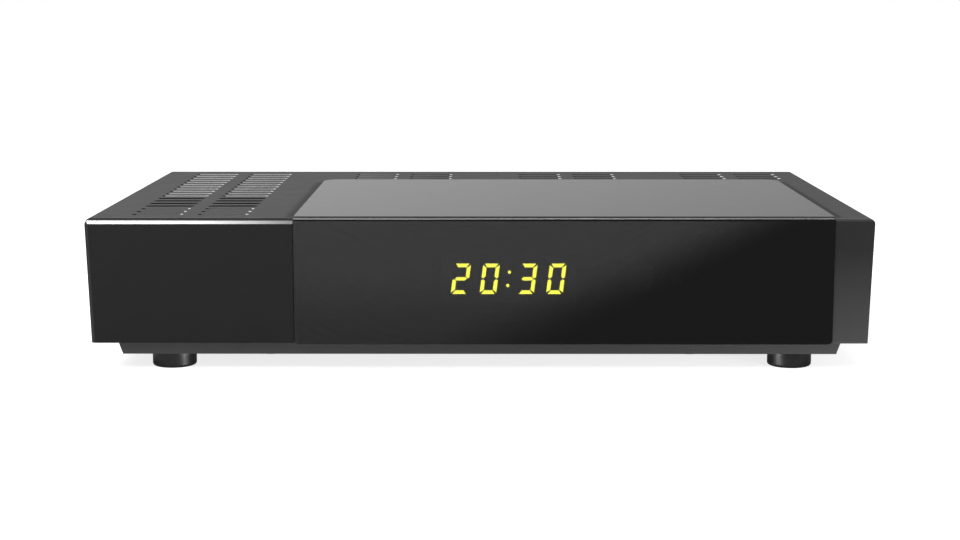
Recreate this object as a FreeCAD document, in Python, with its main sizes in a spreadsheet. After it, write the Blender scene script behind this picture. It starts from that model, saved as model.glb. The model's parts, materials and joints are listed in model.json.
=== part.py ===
"""Satellite tv receiver: folded steel case, moulded front, sockets and boards.

The frame: X runs along the width, Y from the front to the rear, Z up. The origin lies on the
ground under the middle of the whole receiver, connectors included. Lengths are in millimetres.
"""
import FreeCAD, Part
import Sketcher
import math
import os
import re

SIZES = {
    # Case
    "width": 220.0,              # across the cover at its widest
    "depth": 140.0,              # from the face of the window to the back of the cover
    "height": 43.25,             # from the ground to the top of the cover
    "side_taper": 1.15,          # how far each side leans in from top to bottom
    "corner_radius": 1.4,        # bend of the cover's long edges
    "seam": 0.15,                # gap between pieces that lie side by side
    "cover_sheet": 0.8,
    "rear_flange": 7.0,          # height of the cover's turned-down rear edge
    # Vents of the cover
    "slot_length": 14.5,
    "slot_width": 2.8,
    "slot_rows": 18,
    "slot_rear_rows": 3,         # rows that run the whole width
    "slot_first_row": 11.96,     # from the front
    "slot_last_row": 10.8,       # from the back of the cover
    "slot_margin_left": 11.45,
    "slot_margin_right": 8.1,
    # Tray
    "tray_sheet": 1.0,
    "tray_inset": 9.45,          # from the widest point of the case to the edge of the tray floor
    "tray_slope": 1.05,          # how far the low sides lean outwards
    "tray_lip": 8.0,
    "tray_vents": 4,             # each way
    "tray_vent_pitch": 26.0,
    "tray_vent_row_pitch": 14.0,
    "tray_vent_length": 18.0,
    "tray_vent_width": 3.0,
    "tray_vent_first": 42.0,     # from the front
    "standoff_height": 6.0,
    "standoff_radius": 3.0,
    # Feet
    "foot_height": 4.64,
    "foot_radius": 6.24,
    "foot_round": 0.8,
    "foot_recess": 2.4,          # depth of the screw's recess
    "head_gap": 0.3,             # round a sunk screw head
    "foot_inset_left": 22.6,     # from the side of the case
    "foot_inset_right": 21.3,
    "foot_front": 12.0,          # from the front
    "foot_rear": 14.0,           # from the back of the cover
    # Front moulding
    "skirt_height": 3.59,
    "skirt_depth": 5.4,
    "skirt_rake": 1.0,
    "fascia_plate": 2.0,
    "strip_round": 0.8,
    "lip_reach": 5.4,            # how far the moulding reaches into the cover
    "lip_wall": 1.5,
    "lip_gap": 0.3,              # from the lip down to the tray
    "lug_spread": 60.0,
    "lug_width": 12.0,
    "lug_height": 4.0,
    "panel_setback": 0.6,        # decor panel and right-hand strip behind the window's face
    "decor_width": 58.22,        # from the left side to the window
    "decor_chamfer": 1.1,
    "decor_drop": 0.25,          # upper edge of the decor panel below the cover's top
    "panel_bottom_round": 0.4,
    "window_sheet": 2.6,
    "window_margin": 11.34,      # from the window to the right side
    "window_drop": 0.25,         # window below the other panels
    "window_edge_round": 1.3,
    "window_corner_round": 1.2,
    "tongue_rise": 0.8,
    "tongue_reach": 104.5,
    "tongue_corner_round": 5.0,
    "tongue_edge_round": 0.25,
    # Display and front board
    "display_offset": 59.93,     # from the window's left edge to the middle of the display
    "display_centre": 18.1,      # above the lower edge of the panels
    "display_width": 37.0,
    "display_height": 13.0,
    "display_depth": 8.0,
    "display_gap": 0.3,
    "front_board_width": 98.0,
    "front_board_low": 5.1,      # above the lower edge of the panels
    "front_board_gap": 1.47,     # under the moulding's lip
    "front_board_offset": 16.85,  # from the display's middle to the board's middle
    "boss_inset": 5.0,
    "boss_radius": 3.0,
    "ir_offset": 37.0,           # from the display's middle
    "ir_width": 6.0,
    "ir_height": 7.0,
    "led_offset": 47.0,          # from the display's middle
    "led_radius": 1.5,
    "led_round": 1.2,
    "driver_width": 10.0,
    "driver_height": 7.5,
    "driver_depth": 2.3,
    # Rear panel
    "panel_sheet": 1.0,
    "tab_spread": 50.0,
    "tab_width": 16.0,
    "tab_reach": 9.0,
    "cutout_gap": 0.25,
    # Main board
    "board_thickness": 1.6,
    "board_depth": 77.0,
    "board_margin_left": 26.0,
    "board_margin_right": 11.0,
    "board_gap": 1.2,            # from the board to the rear panel
    "standoff_inset": 5.0,
    "standoff_rear": 36.0,       # from the board's rear edge, clear of the sockets
    # Sockets
    "socket_end_margin": 3.0,
    "connector_reach": 10.0,     # the threaded connectors behind the back of the cover
    "thread_radius": 4.76,       # 3/8-32 thread
    "thread_root": 4.33,
    "thread_gap": 0.06,          # clearance of threads and sleeves
    "thread_height": 7.0,        # axis above the board
    "thread_room": 14.0,         # width that a threaded connector takes along the board
    "dielectric_radius": 3.3,
    "insulator_depth": 6.0,
    "insulator_sunk": 0.4,
    "pin_hole_radius": 0.6,
    "thread_chamfer": 0.5,
    "nut_flats": 11.1,
    "nut_thickness": 2.2,
    "washer_radius": 6.6,
    "washer_thickness": 0.5,
    "tuner_height": 13.0,
    "tuner_depth": 30.0,
    "can_sheet": 0.5,
    "scart_width": 47.0,
    "scart_height": 14.6,
    "scart_depth": 18.0,
    "scart_corner": 4.0,
    "scart_wall": 0.9,
    "scart_reach": 1.2,          # behind the back of the cover
    "contact_columns": 10,
    "contact_rows": 2,
    "contact_pitch": 3.6,
    "contact_row_pitch": 5.2,
    "contact_width": 1.1,
    "contact_height": 3.2,
    "contact_depth": 6.0,
    "scart_block": 13.0,         # depth of the insert
    "scart_slot": 1.5,           # slot round the insert's block, for a plug's shell
    "audio_width": 11.0,
    "audio_height": 12.0,
    "audio_depth": 9.5,
    "audio_radius": 4.15,        # sleeve of the coaxial socket
    "audio_core": 3.3,
    "audio_shoulder": 4.75,      # radius of the step that passes through the panel
    "audio_step": 0.3,           # shoulder behind the panel
    "audio_bore": 1.65,
    "audio_bore_depth": 9.0,
    "audio_reach": 8.0,
    "audio_sunk": 0.4,           # core inside the end of its sleeve
    "hdmi_width": 15.0,
    "hdmi_height": 6.0,
    "hdmi_depth": 11.0,
    "hdmi_corner": 1.6,
    "usb_width": 13.2,
    "usb_height": 6.0,
    "usb_depth": 13.0,
    "shell_sheet": 0.4,
    "tongue_height": 1.4,        # contact tongues of the two data sockets
    "tongue_side": 2.0,          # from the shell's side to the tongue
    "tongue_sunk": 1.0,          # tongues and the inlet's pin behind their mouths
    "insert_root": 2.5,
    "shell_reach": 0.6,
    "eye_width": 8.0,
    "eye_height": 8.5,
    "eye_depth": 12.0,
    "eye_collar": 3.2,
    "eye_bore": 1.8,             # takes a 3.5 mm plug
    "eye_bore_depth": 12.0,
    "eye_reach": 1.4,
    "dc_width": 9.4,
    "dc_height": 11.0,
    "dc_depth": 13.5,
    "dc_bore": 3.2,
    "dc_pin": 1.0,
    "dc_well": 9.5,
    "dc_reach": 0.8,
    # Power switch
    "switch_margin": 15.0,       # from the side of the case to the switch
    "switch_centre": 24.0,       # above the ground
    "switch_body_width": 8.5,
    "switch_body_height": 13.5,
    "switch_depth": 11.0,
    "bezel_width": 10.6,
    "bezel_height": 15.0,
    "bezel_thickness": 1.5,
    "bezel_round": 1.0,
    "switch_floor": 3.9,         # floor of the switch's opening, from the pivot
    "rocker_width": 6.2,
    "rocker_gap": 0.3,
    "rocker_radius": 5.8,        # from the pivot to the ends of the rocker
    "rocker_waist": 2.2,         # middle of the rocker behind its pivot
    "rocker_sunk": 2.2,          # pivot in front of the bezel's face
    "rocker_heel": 3.2,          # reach of the rocker in front of its pivot
    "rocker_heel_half": 1.07,    # half the height of the heel's flat end
    "rocker_pin": 0.9,
    "rocker_pin_reach": 0.7,
    "pin_gap": 0.08,
    "rocker_tilt": 9.0,          # degrees to each side
    "blade_spread": 3.5,         # terminals above and below the switch's middle
    "blade_width": 4.8,
    "blade_sheet": 0.8,
    "blade_reach": 7.0,
    "lead_radius": 0.8,
    "lead_bend": 4.0,
    "lead_inset": 4.0,           # from the board's left edge to the first lead
    "lead_step": 4.0,
    # Places on the main board, from its front edge and its left or right edge
    "decoder_left": 70.0,
    "decoder_front": 30.0,
    "memory_left": 47.0,
    "memory_front": 22.0,
    "memory_step": 17.0,
    "flash_left": 92.0,
    "flash_front": 19.0,
    "crystal_left": 94.0,
    "crystal_front": 36.0,
    "regulator_left": 24.0,
    "regulator_front": 32.0,
    "regulator_step": 12.0,
    "supply_right": 38.0,
    "supply_front": 30.0,
    "coil_left": 34.0,
    "coil_right": 55.0,
    "coil_front": 42.0,
    "can_left": 12.0,
    "can_front": 15.0,
    "can_step": 13.0,
    "filter_right": 20.0,
    "filter_step": 14.0,
    # Parts on the main board
    "decoder_side": 23.0,
    "decoder_height": 2.0,
    "sink_side": 28.0,
    "sink_base": 2.0,
    "sink_height": 9.0,
    "fin_pitch": 4.4,
    "fin_thickness": 1.2,
    "fins": 6,
    "memory_width": 9.0,
    "memory_length": 13.0,
    "memory_height": 1.2,
    "flash_side": 7.5,
    "flash_height": 1.8,
    "supply_side": 8.0,
    "supply_height": 1.5,
    "crystal_width": 11.0,
    "crystal_depth": 4.6,
    "crystal_height": 3.6,
    "regulator_side": 6.6,
    "regulator_height": 2.3,
    "coil_side": 12.0,
    "coil_height": 7.0,
    "coil_round": 3.0,
    "large_can_radius": 5.0,
    "large_can_height": 16.0,
    "small_can_radius": 3.15,
    "small_can_height": 11.0,
    "can_round": 0.5,
    # Ribbon
    "ribbon_width": 16.0,
    "ribbon_offset": 36.0,       # from the display's middle
    "ribbon_sheet": 0.9,
    "ribbon_bend": 5.0,
    "ribbon_drop": 8.33,         # under the front board's upper edge
    "header_thickness": 5.0,
    "header_reach": 8.0,
    "header_wall": 2.0,          # header past each side of the ribbon
    "header_inset": 6.0,         # from the board's front edge to the header
    # Screws
    "screw_radius": 1.4,
    "screw_hole": 1.6,
    "head_radius": 2.8,
    "head_height": 1.6,
    "cross_arm": 1.5,
    "cross_half": 0.35,
    "cross_depth": 0.9,
    "cover_screw_spread": 82.0,
    "screw_reach": 4.0,
    "screw_tip": 1.0,            # screws past the last sheet that they hold
    "foot_screw_tip": 1.6,
    "lug_skin": 1.0,             # plastic left above a screw's tip
}

SLOT_PAIRS = 4  # pairs of vent columns across the cover
PAIR_STEP = 3   # column steps from one pair to the next
THROUGH = 0.2   # how far a cut runs past the sheet that it goes through

doc = FreeCAD.newDocument("receiver")
dims = doc.addObject("Spreadsheet::Sheet", "dims")
for row, (alias, value) in enumerate(SIZES.items(), 1):
    dims.set(f"A{row}", alias)
    dims.set(f"B{row}", str(value))
    dims.setAlias(f"B{row}", alias)
doc.recompute()


# ---------------------------------------------------------------- modelling helpers

def bind(thing, prop, formula):
    """Tie a property to the named sizes that a formula mentions."""
    names = r"\b[a-z]\w+\b(?!\()"  # a name followed by a bracket is a function
    text = re.sub(names, lambda word: f"dims.{word.group()}", str(formula))
    thing.setExpression(prop, text)


def new_body(label):
    body = doc.addObject("PartDesign::Body", label)
    body.Label = label
    body.AllowCompound = True
    return body


def origin_part(body, role):
    return next(part for part in body.Origin.OriginFeatures if part.Role == role)


def polygon(*corners):
    return ("polygon", corners)


def rectangle(left, right, low, high):
    return polygon((left, low), (right, low), (right, high), (left, high))


def circle(across, up, radius):
    return ("circle", (across, up, radius))


def slot(across, up, length, width):
    """A round-ended slot that lies along the sketch's first axis."""
    return ("slot", (across, up, length, width))


def pin_point(sketch, geometry, point, across, up):
    """Hold one point of a sketch at a place given by two formulas."""
    for kind, formula in (("DistanceX", across), ("DistanceY", up)):
        spot = sketch.getPoint(geometry, point)
        start = spot.x if kind == "DistanceX" else spot.y
        index = sketch.addConstraint(Sketcher.Constraint(kind, -1, 1, geometry, point, start))
        bind(sketch, f"Constraints[{index}]", formula)


def draw_polygon(sketch, corners):
    first = sketch.GeometryCount
    count = len(corners)
    ring = [FreeCAD.Vector(1, 0, 0) for _ in corners]
    turn = FreeCAD.Rotation(FreeCAD.Vector(0, 0, 1), 360 / count)
    for index in range(1, count):
        ring[index] = turn.multVec(ring[index - 1])
    for index in range(count):
        sketch.addGeometry(Part.LineSegment(ring[index], ring[(index + 1) % count]))
    for index, (across, up) in enumerate(corners):
        follower = first + (index - 1) % count
        sketch.addConstraint(Sketcher.Constraint("Coincident", follower, 2, first + index, 1))
        pin_point(sketch, first + index, 1, across, up)


def draw_circle(sketch, place):
    across, up, radius = place
    geometry = sketch.addGeometry(Part.Circle(FreeCAD.Vector(), FreeCAD.Vector(0, 0, 1), 1))
    pin_point(sketch, geometry, 3, across, up)
    index = sketch.addConstraint(Sketcher.Constraint("Radius", geometry, 1.0))
    bind(sketch, f"Constraints[{index}]", radius)


def draw_slot(sketch, place):
    across, up, length, width = place
    first = sketch.GeometryCount
    ends = (FreeCAD.Vector(-2, 0, 0), FreeCAD.Vector(2, 0, 0))
    up_axis = FreeCAD.Vector(0, 0, 1)
    for end, turn in zip(ends, (math.pi / 2, -math.pi / 2)):
        ring = Part.Circle(end, up_axis, 1)
        sketch.addGeometry(Part.ArcOfCircle(ring, turn, turn + math.pi))
    for side in (-1, 1):
        step = FreeCAD.Vector(0, side, 0)
        sketch.addGeometry(Part.LineSegment(ends[0] + step, ends[1] + step))
    left, right, low, high = range(first, first + 4)
    for arc, arc_end, line, line_end in ((left, 2, low, 1), (left, 1, high, 1),
                                         (right, 1, low, 2), (right, 2, high, 2)):
        sketch.addConstraint(Sketcher.Constraint("Tangent", arc, arc_end, line, line_end))
    reach = f"(({length}) - ({width})) / 2"
    pin_point(sketch, left, 3, f"({across}) - {reach}", up)
    pin_point(sketch, right, 3, f"({across}) + {reach}", up)
    for arc in (left, right):
        index = sketch.addConstraint(Sketcher.Constraint("Radius", arc, 1.0))
        bind(sketch, f"Constraints[{index}]", f"({width}) / 2")


DRAW = {"polygon": draw_polygon, "circle": draw_circle, "slot": draw_slot}


def draw(body, name, plane, start, loops):
    """A sketch parallel to a plane of its body, moved along the plane's axis to start."""
    sketch = body.newObject("Sketcher::SketchObject", name + "_sketch")
    sketch.AttachmentSupport = [(origin_part(body, plane + "_Plane"), "")]
    sketch.MapMode = "FlatFace"
    sign = "-" if plane == "XZ" else ""
    bind(sketch, "AttachmentOffset.Base.z", f"{sign}({start})")
    for kind, place in loops:
        DRAW[kind](sketch, place)
    return sketch


def prism(body, name, plane, start, length, *loops, cut=False):
    """Pad or pocket loops drawn on a plane, from start towards the axis's positive end."""
    sketch = draw(body, name, plane, start, loops)
    feature = body.newObject("PartDesign::Pocket" if cut else "PartDesign::Pad", name)
    feature.Profile = sketch
    feature.Reversed = cut != (plane == "XZ")
    bind(feature, "Length", length)
    doc.recompute()
    return feature


def carve(body, name, plane, start, length, *loops):
    return prism(body, name, plane, start, length, *loops, cut=True)


def loft(body, name, low, low_loop, high, high_loop):
    """A solid between two level outlines."""
    feature = body.newObject("PartDesign::AdditiveLoft", name)
    feature.Profile = draw(body, name + "_low", "XY", low, [low_loop])
    feature.Sections = [draw(body, name + "_high", "XY", high, [high_loop])]
    feature.Ruled = True
    body.Tip = feature
    doc.recompute()
    return feature


def bent_rod(body, name, along, start, end, bend, radius):
    """A round rod in a plane across Y: level from its start, then down to its end by one bend."""
    (x1, z1), (x2, z2) = start, end
    middle = (f"({x2} - {bend})", f"({z1} - {bend})")
    path = draw(body, name + "_path", "XZ", along, [])
    corner = FreeCAD.Vector(2, 0, 0)
    level = path.addGeometry(Part.LineSegment(FreeCAD.Vector(0, 1, 0), FreeCAD.Vector(2, 1, 0)))
    ring = Part.Circle(corner, FreeCAD.Vector(0, 0, 1), 1)
    turn = path.addGeometry(Part.ArcOfCircle(ring, 0, math.pi / 2))
    upright = path.addGeometry(Part.LineSegment(FreeCAD.Vector(3, 0, 0), FreeCAD.Vector(3, -2, 0)))
    path.addConstraint(Sketcher.Constraint("Tangent", level, 2, turn, 2))
    path.addConstraint(Sketcher.Constraint("Tangent", turn, 1, upright, 1))
    pin_point(path, level, 1, x1, z1)
    pin_point(path, turn, 3, *middle)
    index = path.addConstraint(Sketcher.Constraint("Radius", turn, 1.0))
    bind(path, f"Constraints[{index}]", bend)
    pin_point(path, upright, 2, x2, z2)
    return sweep(body, name, path, draw(body, name + "_ring", "YZ", x1, [circle(along, z1, radius)]))


def sweep(body, name, path, profile):
    feature = body.newObject("PartDesign::AdditivePipe", name)
    feature.Profile = profile
    feature.Spine = (path, [])
    body.Tip = feature
    doc.recompute()
    return feature


def repeat(body, name, original, first_axis, first_count, first_step,
           second_axis=None, second_count=1, second_step=1):
    """Repeat a feature along one axis, or over a grid."""
    pattern = body.newObject("PartDesign::LinearPattern", name)
    pattern.Originals = [original]
    pattern.Direction = (origin_part(body, first_axis + "_Axis"), [""])
    pattern.Mode = "Spacing"
    bind(pattern, "Offset", first_step)
    bind(pattern, "Occurrences", first_count)
    if second_axis:
        pattern.Direction2 = (origin_part(body, second_axis + "_Axis"), [""])
        pattern.Mode2 = "Spacing"
        pattern.Spacings2 = [-1.0]  # no step of its own: each follows the offset
        bind(pattern, "Offset2", second_step)
        bind(pattern, "Occurrences2", second_count)
    body.Tip = pattern
    doc.recompute()
    return pattern


def edges_at(shape, along, inset=0, **sides):
    """Names of the edges that run along an axis, at or just inside given sides of the box."""
    near = 0.002 * shape.BoundBox.DiagonalLength
    box = shape.BoundBox
    limits = {"x": (box.XMin, box.XMax), "y": (box.YMin, box.YMax), "z": (box.ZMin, box.ZMax)}
    names = []
    for number, edge in enumerate(shape.Edges, 1):
        start, end = edge.Vertexes[0].Point, edge.Vertexes[-1].Point
        run = end - start
        straight = run.Length > 0 and abs(getattr(run, along)) > 0.95 * run.Length
        middle = edge.CenterOfMass
        gaps = [abs(getattr(middle, axis) - limits[axis][side == "max"])
                for axis, side in sides.items()]
        at_sides = all(abs(gap - inset) < near for gap in gaps)
        if straight and at_sides:
            names.append(f"Edge{number}")
    return names


def closest_edge(shape, along, side_y, side_z):
    """Name of the edge along an axis that lies nearest to one long edge of the shape's box."""
    box = shape.BoundBox
    corner_y = box.YMax if side_y == "max" else box.YMin
    corner_z = box.ZMax if side_z == "max" else box.ZMin
    gaps = {}
    for name in edges_at(shape, along):
        middle = shape.getElement(name).CenterOfMass
        gaps[name] = math.hypot(middle.y - corner_y, middle.z - corner_z)
    return [min(gaps, key=gaps.get)]


def rims_at(shape, axis, side):
    """Names of the closed round edges at one side of the shape's box."""
    box = shape.BoundBox
    limit = getattr(box, axis.upper() + side.capitalize())
    near = 0.002 * box.DiagonalLength
    return [f"Edge{number}" for number, edge in enumerate(shape.Edges, 1)
            if edge.isClosed() and abs(getattr(edge.CenterOfMass, axis) - limit) < near]


def round_edges(body, name, radius, names):
    base = body.Tip
    feature = body.newObject("PartDesign::Fillet", name)
    feature.Base = (base, names)
    bind(feature, "Radius", radius)
    doc.recompute()
    return feature


def chamfer_edges(body, name, size, names):
    base = body.Tip
    feature = body.newObject("PartDesign::Chamfer", name)
    feature.Base = (base, names)
    bind(feature, "Size", size)
    doc.recompute()
    return feature


# ---------------------------------------------------------------- shared places

FRONT = "(-(depth + connector_reach) / 2)"
SILL = "(foot_height + skirt_height)"
TRAY_FLOOR = "(foot_height + tray_sheet)"
BOARD_TOP = "(foot_height + tray_sheet + standoff_height + board_thickness)"
PANEL_BACK = "(depth - cover_sheet)"                       # outer face of the rear panel
PANEL_FRONT = "(depth - cover_sheet - panel_sheet)"
FASCIA_FACE = "window_sheet"
FASCIA_BACK = "(window_sheet + fascia_plate)"
COVER_FRONT = "(window_sheet + fascia_plate + seam)"
SKIRT_BACK = "(window_sheet + skirt_depth)"
TRAY_FRONT = "(window_sheet + skirt_depth + seam)"
TRAY_HALF = "(width / 2 - tray_inset)"
TRAY_STEP = "(width / 2 - tray_inset + tray_slope)"
TRAY_WALL = "(width / 2 - side_taper - cover_sheet - seam)"
WINDOW_LEFT = "(-width / 2 + decor_width)"
WINDOW_RIGHT = "(width / 2 - window_margin)"
BOARD_LEFT = "(-width / 2 + board_margin_left)"
BOARD_RIGHT = "(width / 2 - board_margin_right)"
BOARD_REAR = "(depth - cover_sheet - panel_sheet - board_gap)"
BOARD_FRONT = f"({BOARD_REAR} - board_depth)"
DISPLAY_X = f"({WINDOW_LEFT} + display_offset)"
DISPLAY_Z = f"({SILL} + display_centre)"
DISPLAY_FACE = "(window_sheet + display_gap)"
FRONT_BOARD_FACE = "(window_sheet + display_gap + display_depth)"
FRONT_BOARD_BACK = f"({FRONT_BOARD_FACE} + board_thickness)"
FRONT_BOARD_X = f"({DISPLAY_X} + front_board_offset)"
FRONT_BOARD_LOW = f"({SILL} + front_board_low)"
FRONT_BOARD_TOP = "(height - cover_sheet - seam - lip_wall - front_board_gap)"
SWITCH_X = "(-width / 2 + switch_margin)"
SWITCH_BACK = f"({PANEL_BACK} - switch_depth)"
ROW_PITCH = "((depth - slot_first_row - slot_last_row) / (slot_rows - 1))"
THREADED = "screw_radius + thread_gap"
INNER_BEND = "corner_radius - cover_sheet - seam"  # of what lies against the cover's bends


def back(distance):
    """The Y of a place this far behind the face of the window."""
    return f"({FRONT} + ({distance}))"


def half_width(height, inset=0):
    """Half the width of the leaning sides at a height."""
    lean = f"side_taper * (height - ({height})) / (height - {SILL})"
    return f"(width / 2 - {lean} - ({inset}))"


def case_outline(low, high, inset=0):
    """The case's section between two heights, inset from its sides."""
    return polygon((f"-{half_width(low, inset)}", low), (half_width(low, inset), low),
                   (half_width(high, inset), high), (f"-{half_width(high, inset)}", high))


FOOT_PLACES = {
    f"{end}_{side}": (f"{sign}(width / 2 - foot_inset_{side})", distance)
    for end, distance in (("front", "foot_front"), ("rear", "(depth - foot_rear)"))
    for side, sign in (("left", "-"), ("right", ""))
}
STANDOFF_PLACES = [
    (across, along)
    for across in (f"({BOARD_LEFT} + standoff_inset)", f"({BOARD_RIGHT} - standoff_inset)")
    for along in (f"({BOARD_FRONT} + standoff_inset)", f"({BOARD_REAR} - standoff_rear)")
]
LUG_PLACES = [(f"{sign}lug_spread", f"({TRAY_FRONT} + lug_width / 2)") for sign in ("-", "")]
TAB_PLACES = [(f"{sign}tab_spread", f"({PANEL_FRONT} - tab_reach / 2)") for sign in ("-", "")]
COVER_SCREW_PLACES = ["-cover_screw_spread", "0", "cover_screw_spread"]
COVER_SCREW_Z = "(height - rear_flange / 2 - cover_sheet / 2)"
BOSS_PLACES = [f"({FRONT_BOARD_X} {sign} (front_board_width / 2 - boss_inset))"
               for sign in ("-", "+")]

# The sockets stand in a row along the rear edge of the board, evenly spread, from the right.
SOCKET_WIDTHS = {
    "satellite_in": "thread_room",
    "satellite_out": "thread_room",
    "scart": "scart_width",
    "audio": "audio_width",
    "hdmi": "hdmi_width",
    "usb": "usb_width",
    "eye": "eye_width",
    "dc": "dc_width",
}
TAKEN = " + ".join(SOCKET_WIDTHS.values())
SOCKET_GAP = (f"(({BOARD_RIGHT} - {BOARD_LEFT} - 2 * socket_end_margin - ({TAKEN}))"
              f" / {len(SOCKET_WIDTHS) - 1})")


def socket_places():
    """The X of the middle of each socket."""
    places = {}
    used = "socket_end_margin"
    for name, room in SOCKET_WIDTHS.items():
        places[name] = f"({BOARD_RIGHT} - {used} - {room} / 2)"
        used = f"({used} + {room} + {SOCKET_GAP})"
    return places


def ground_circles(places, radius):
    return [circle(across, back(along), radius) for across, along in places]


def cross(across, up):
    """The outline of a cross recess."""
    arm, half = "cross_arm", "cross_half"
    steps = ((half, half), (half, arm), (f"-{half}", arm), (f"-{half}", half),
             (f"-{arm}", half), (f"-{arm}", f"-{half}"), (f"-{half}", f"-{half}"),
             (f"-{half}", f"-{arm}"), (half, f"-{arm}"), (half, f"-{half}"),
             (arm, f"-{half}"), (arm, half))
    return polygon(*[(f"{across} + {x}", f"{up} + {y}") for x, y in steps])


SOCKET_X = socket_places()
THREAD_Z = f"({BOARD_TOP} + thread_height)"
AUDIO_Z = f"({BOARD_TOP} + audio_height / 2)"
EYE_Z = f"({BOARD_TOP} + eye_height / 2)"
RIBBON_X = f"({DISPLAY_X} + ribbon_offset)"
RIBBON_Z = f"({FRONT_BOARD_TOP} - ribbon_drop)"
NUT_END = f"({PANEL_BACK} + washer_thickness + nut_thickness)"
PIVOT = "(depth - cover_sheet + bezel_thickness - rocker_sunk)"
ROCKER_END_ANGLES = (31, 17, 3, -15)  # degrees round the pivot, along the rocker's rounded end


# ---------------------------------------------------------------- case

def top_cover():
    """Folded steel cover: top, two leaning sides, a turned-down rear edge and the vents."""
    body = new_body("top_cover")
    length = f"(depth - {COVER_FRONT})"
    prism(body, "shell", "XZ", back(COVER_FRONT), length, case_outline(SILL, "height"))
    round_edges(body, "bends", "corner_radius", edges_at(body.Shape, "y", z="max"))
    inside = case_outline(SILL, "height - cover_sheet", "cover_sheet")
    carve(body, "hollow", "XZ", back(COVER_FRONT), f"{length} - cover_sheet", inside)
    inner_edges = edges_at(body.Shape, "y", inset=SIZES["cover_sheet"], z="max")
    round_edges(body, "inner_bends", "corner_radius - cover_sheet", inner_edges)
    opening = case_outline(SILL, "height - rear_flange", "cover_sheet")
    carve(body, "rear_opening", "XZ", back("depth - cover_sheet"), "cover_sheet", opening)
    holes = [circle(across, COVER_SCREW_Z, "screw_hole") for across in COVER_SCREW_PLACES]
    carve(body, "screw_holes", "XZ", back("depth - cover_sheet"), "cover_sheet", *holes)
    spread = "(width - slot_margin_left - slot_margin_right - slot_length)"
    step = f"({spread} / {PAIR_STEP * (SLOT_PAIRS - 1) + 1})"
    first_column = "(-width / 2 + slot_margin_left + slot_length / 2)"
    for pair in range(SLOT_PAIRS):
        rows = "slot_rows" if pair == 0 else "slot_rear_rows"
        first_row = f"(slot_first_row + (slot_rows - {rows}) * {ROW_PITCH})"
        place = slot(f"{first_column} + {PAIR_STEP * pair} * {step}", back(first_row),
                     "slot_length", "slot_width")
        vent = carve(body, f"vent_{pair}", "XY", f"height - cover_sheet - {THROUGH}",
                     f"cover_sheet + {2 * THROUGH}", place)
        repeat(body, f"vents_{pair}", vent, "Y", rows, ROW_PITCH, "X", 2, step)
    return body


def chassis_tray():
    """Folded steel tray, narrow below and stepped out to the cover's sides."""
    body = new_body("chassis_tray")
    wall, step = f"({TRAY_WALL} - tray_sheet)", f"({TRAY_STEP} - tray_sheet)"
    lip = f"{SILL} + tray_lip"
    half = [(TRAY_HALF, "foot_height"), (TRAY_STEP, SILL), (TRAY_WALL, SILL), (TRAY_WALL, lip),
            (wall, lip), (wall, f"{SILL} + tray_sheet"), (step, f"{SILL} + tray_sheet"),
            (f"({TRAY_HALF} - tray_sheet)", TRAY_FLOOR)]
    section = half + [(f"-{across}", up) for across, up in reversed(half)]
    prism(body, "sheet", "XZ", back(TRAY_FRONT), f"{PANEL_BACK} - {TRAY_FRONT}",
          polygon(*section))
    prism(body, "standoffs", "XY", TRAY_FLOOR, "standoff_height",
          *ground_circles(STANDOFF_PLACES, "standoff_radius"))
    carve(body, "standoff_threads", "XY", TRAY_FLOOR, "standoff_height",
          *ground_circles(STANDOFF_PLACES, THREADED))
    places = list(FOOT_PLACES.values()) + LUG_PLACES + TAB_PLACES
    carve(body, "floor_holes", "XY", "foot_height", "tray_sheet",
          *ground_circles(places, "screw_hole"))
    vent = carve(body, "vent", "XY", "foot_height", "tray_sheet",
                 slot("-(tray_vents - 1) * tray_vent_pitch / 2", back("tray_vent_first"),
                      "tray_vent_length", "tray_vent_width"))
    repeat(body, "vents", vent, "X", "tray_vents", "tray_vent_pitch",
           "Y", "tray_vents", "tray_vent_row_pitch")
    return body


def rear_panel():
    """Steel plate that holds the sockets, with two tabs turned onto the tray."""
    body = new_body("rear_panel")
    shift = "(tray_sheet + seam)"
    ledge, top = f"({SILL} + tray_lip + seam)", "(height - cover_sheet - seam)"
    half = [(f"({TRAY_HALF} - {shift})", TRAY_FLOOR),
            (f"({TRAY_STEP} - {shift})", f"{SILL} + tray_sheet"),
            (f"({TRAY_WALL} - {shift})", f"{SILL} + tray_sheet"),
            (f"({TRAY_WALL} - {shift})", ledge),
            (half_width(ledge, "cover_sheet + seam"), ledge),
            (half_width(top, "cover_sheet + seam"), top)]
    outline = half + [(f"-{across}", up) for across, up in reversed(half)]
    prism(body, "plate", "XZ", back(PANEL_FRONT), "panel_sheet", polygon(*outline))
    round_edges(body, "corners", INNER_BEND, edges_at(body.Shape, "y", z="max"))
    for number, (middle, _) in enumerate(TAB_PLACES):
        prism(body, f"tab_{number}", "XY", TRAY_FLOOR, "panel_sheet",
              rectangle(f"{middle} - tab_width / 2", f"{middle} + tab_width / 2",
                        back(f"{PANEL_FRONT} - tab_reach"), back(PANEL_FRONT)))
    carve(body, "tab_holes", "XY", TRAY_FLOOR, "panel_sheet",
          *ground_circles(TAB_PLACES, "screw_hole"))
    carve(body, "cutouts", "XZ", back(PANEL_FRONT), "panel_sheet", *panel_cutouts())
    return body


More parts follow.
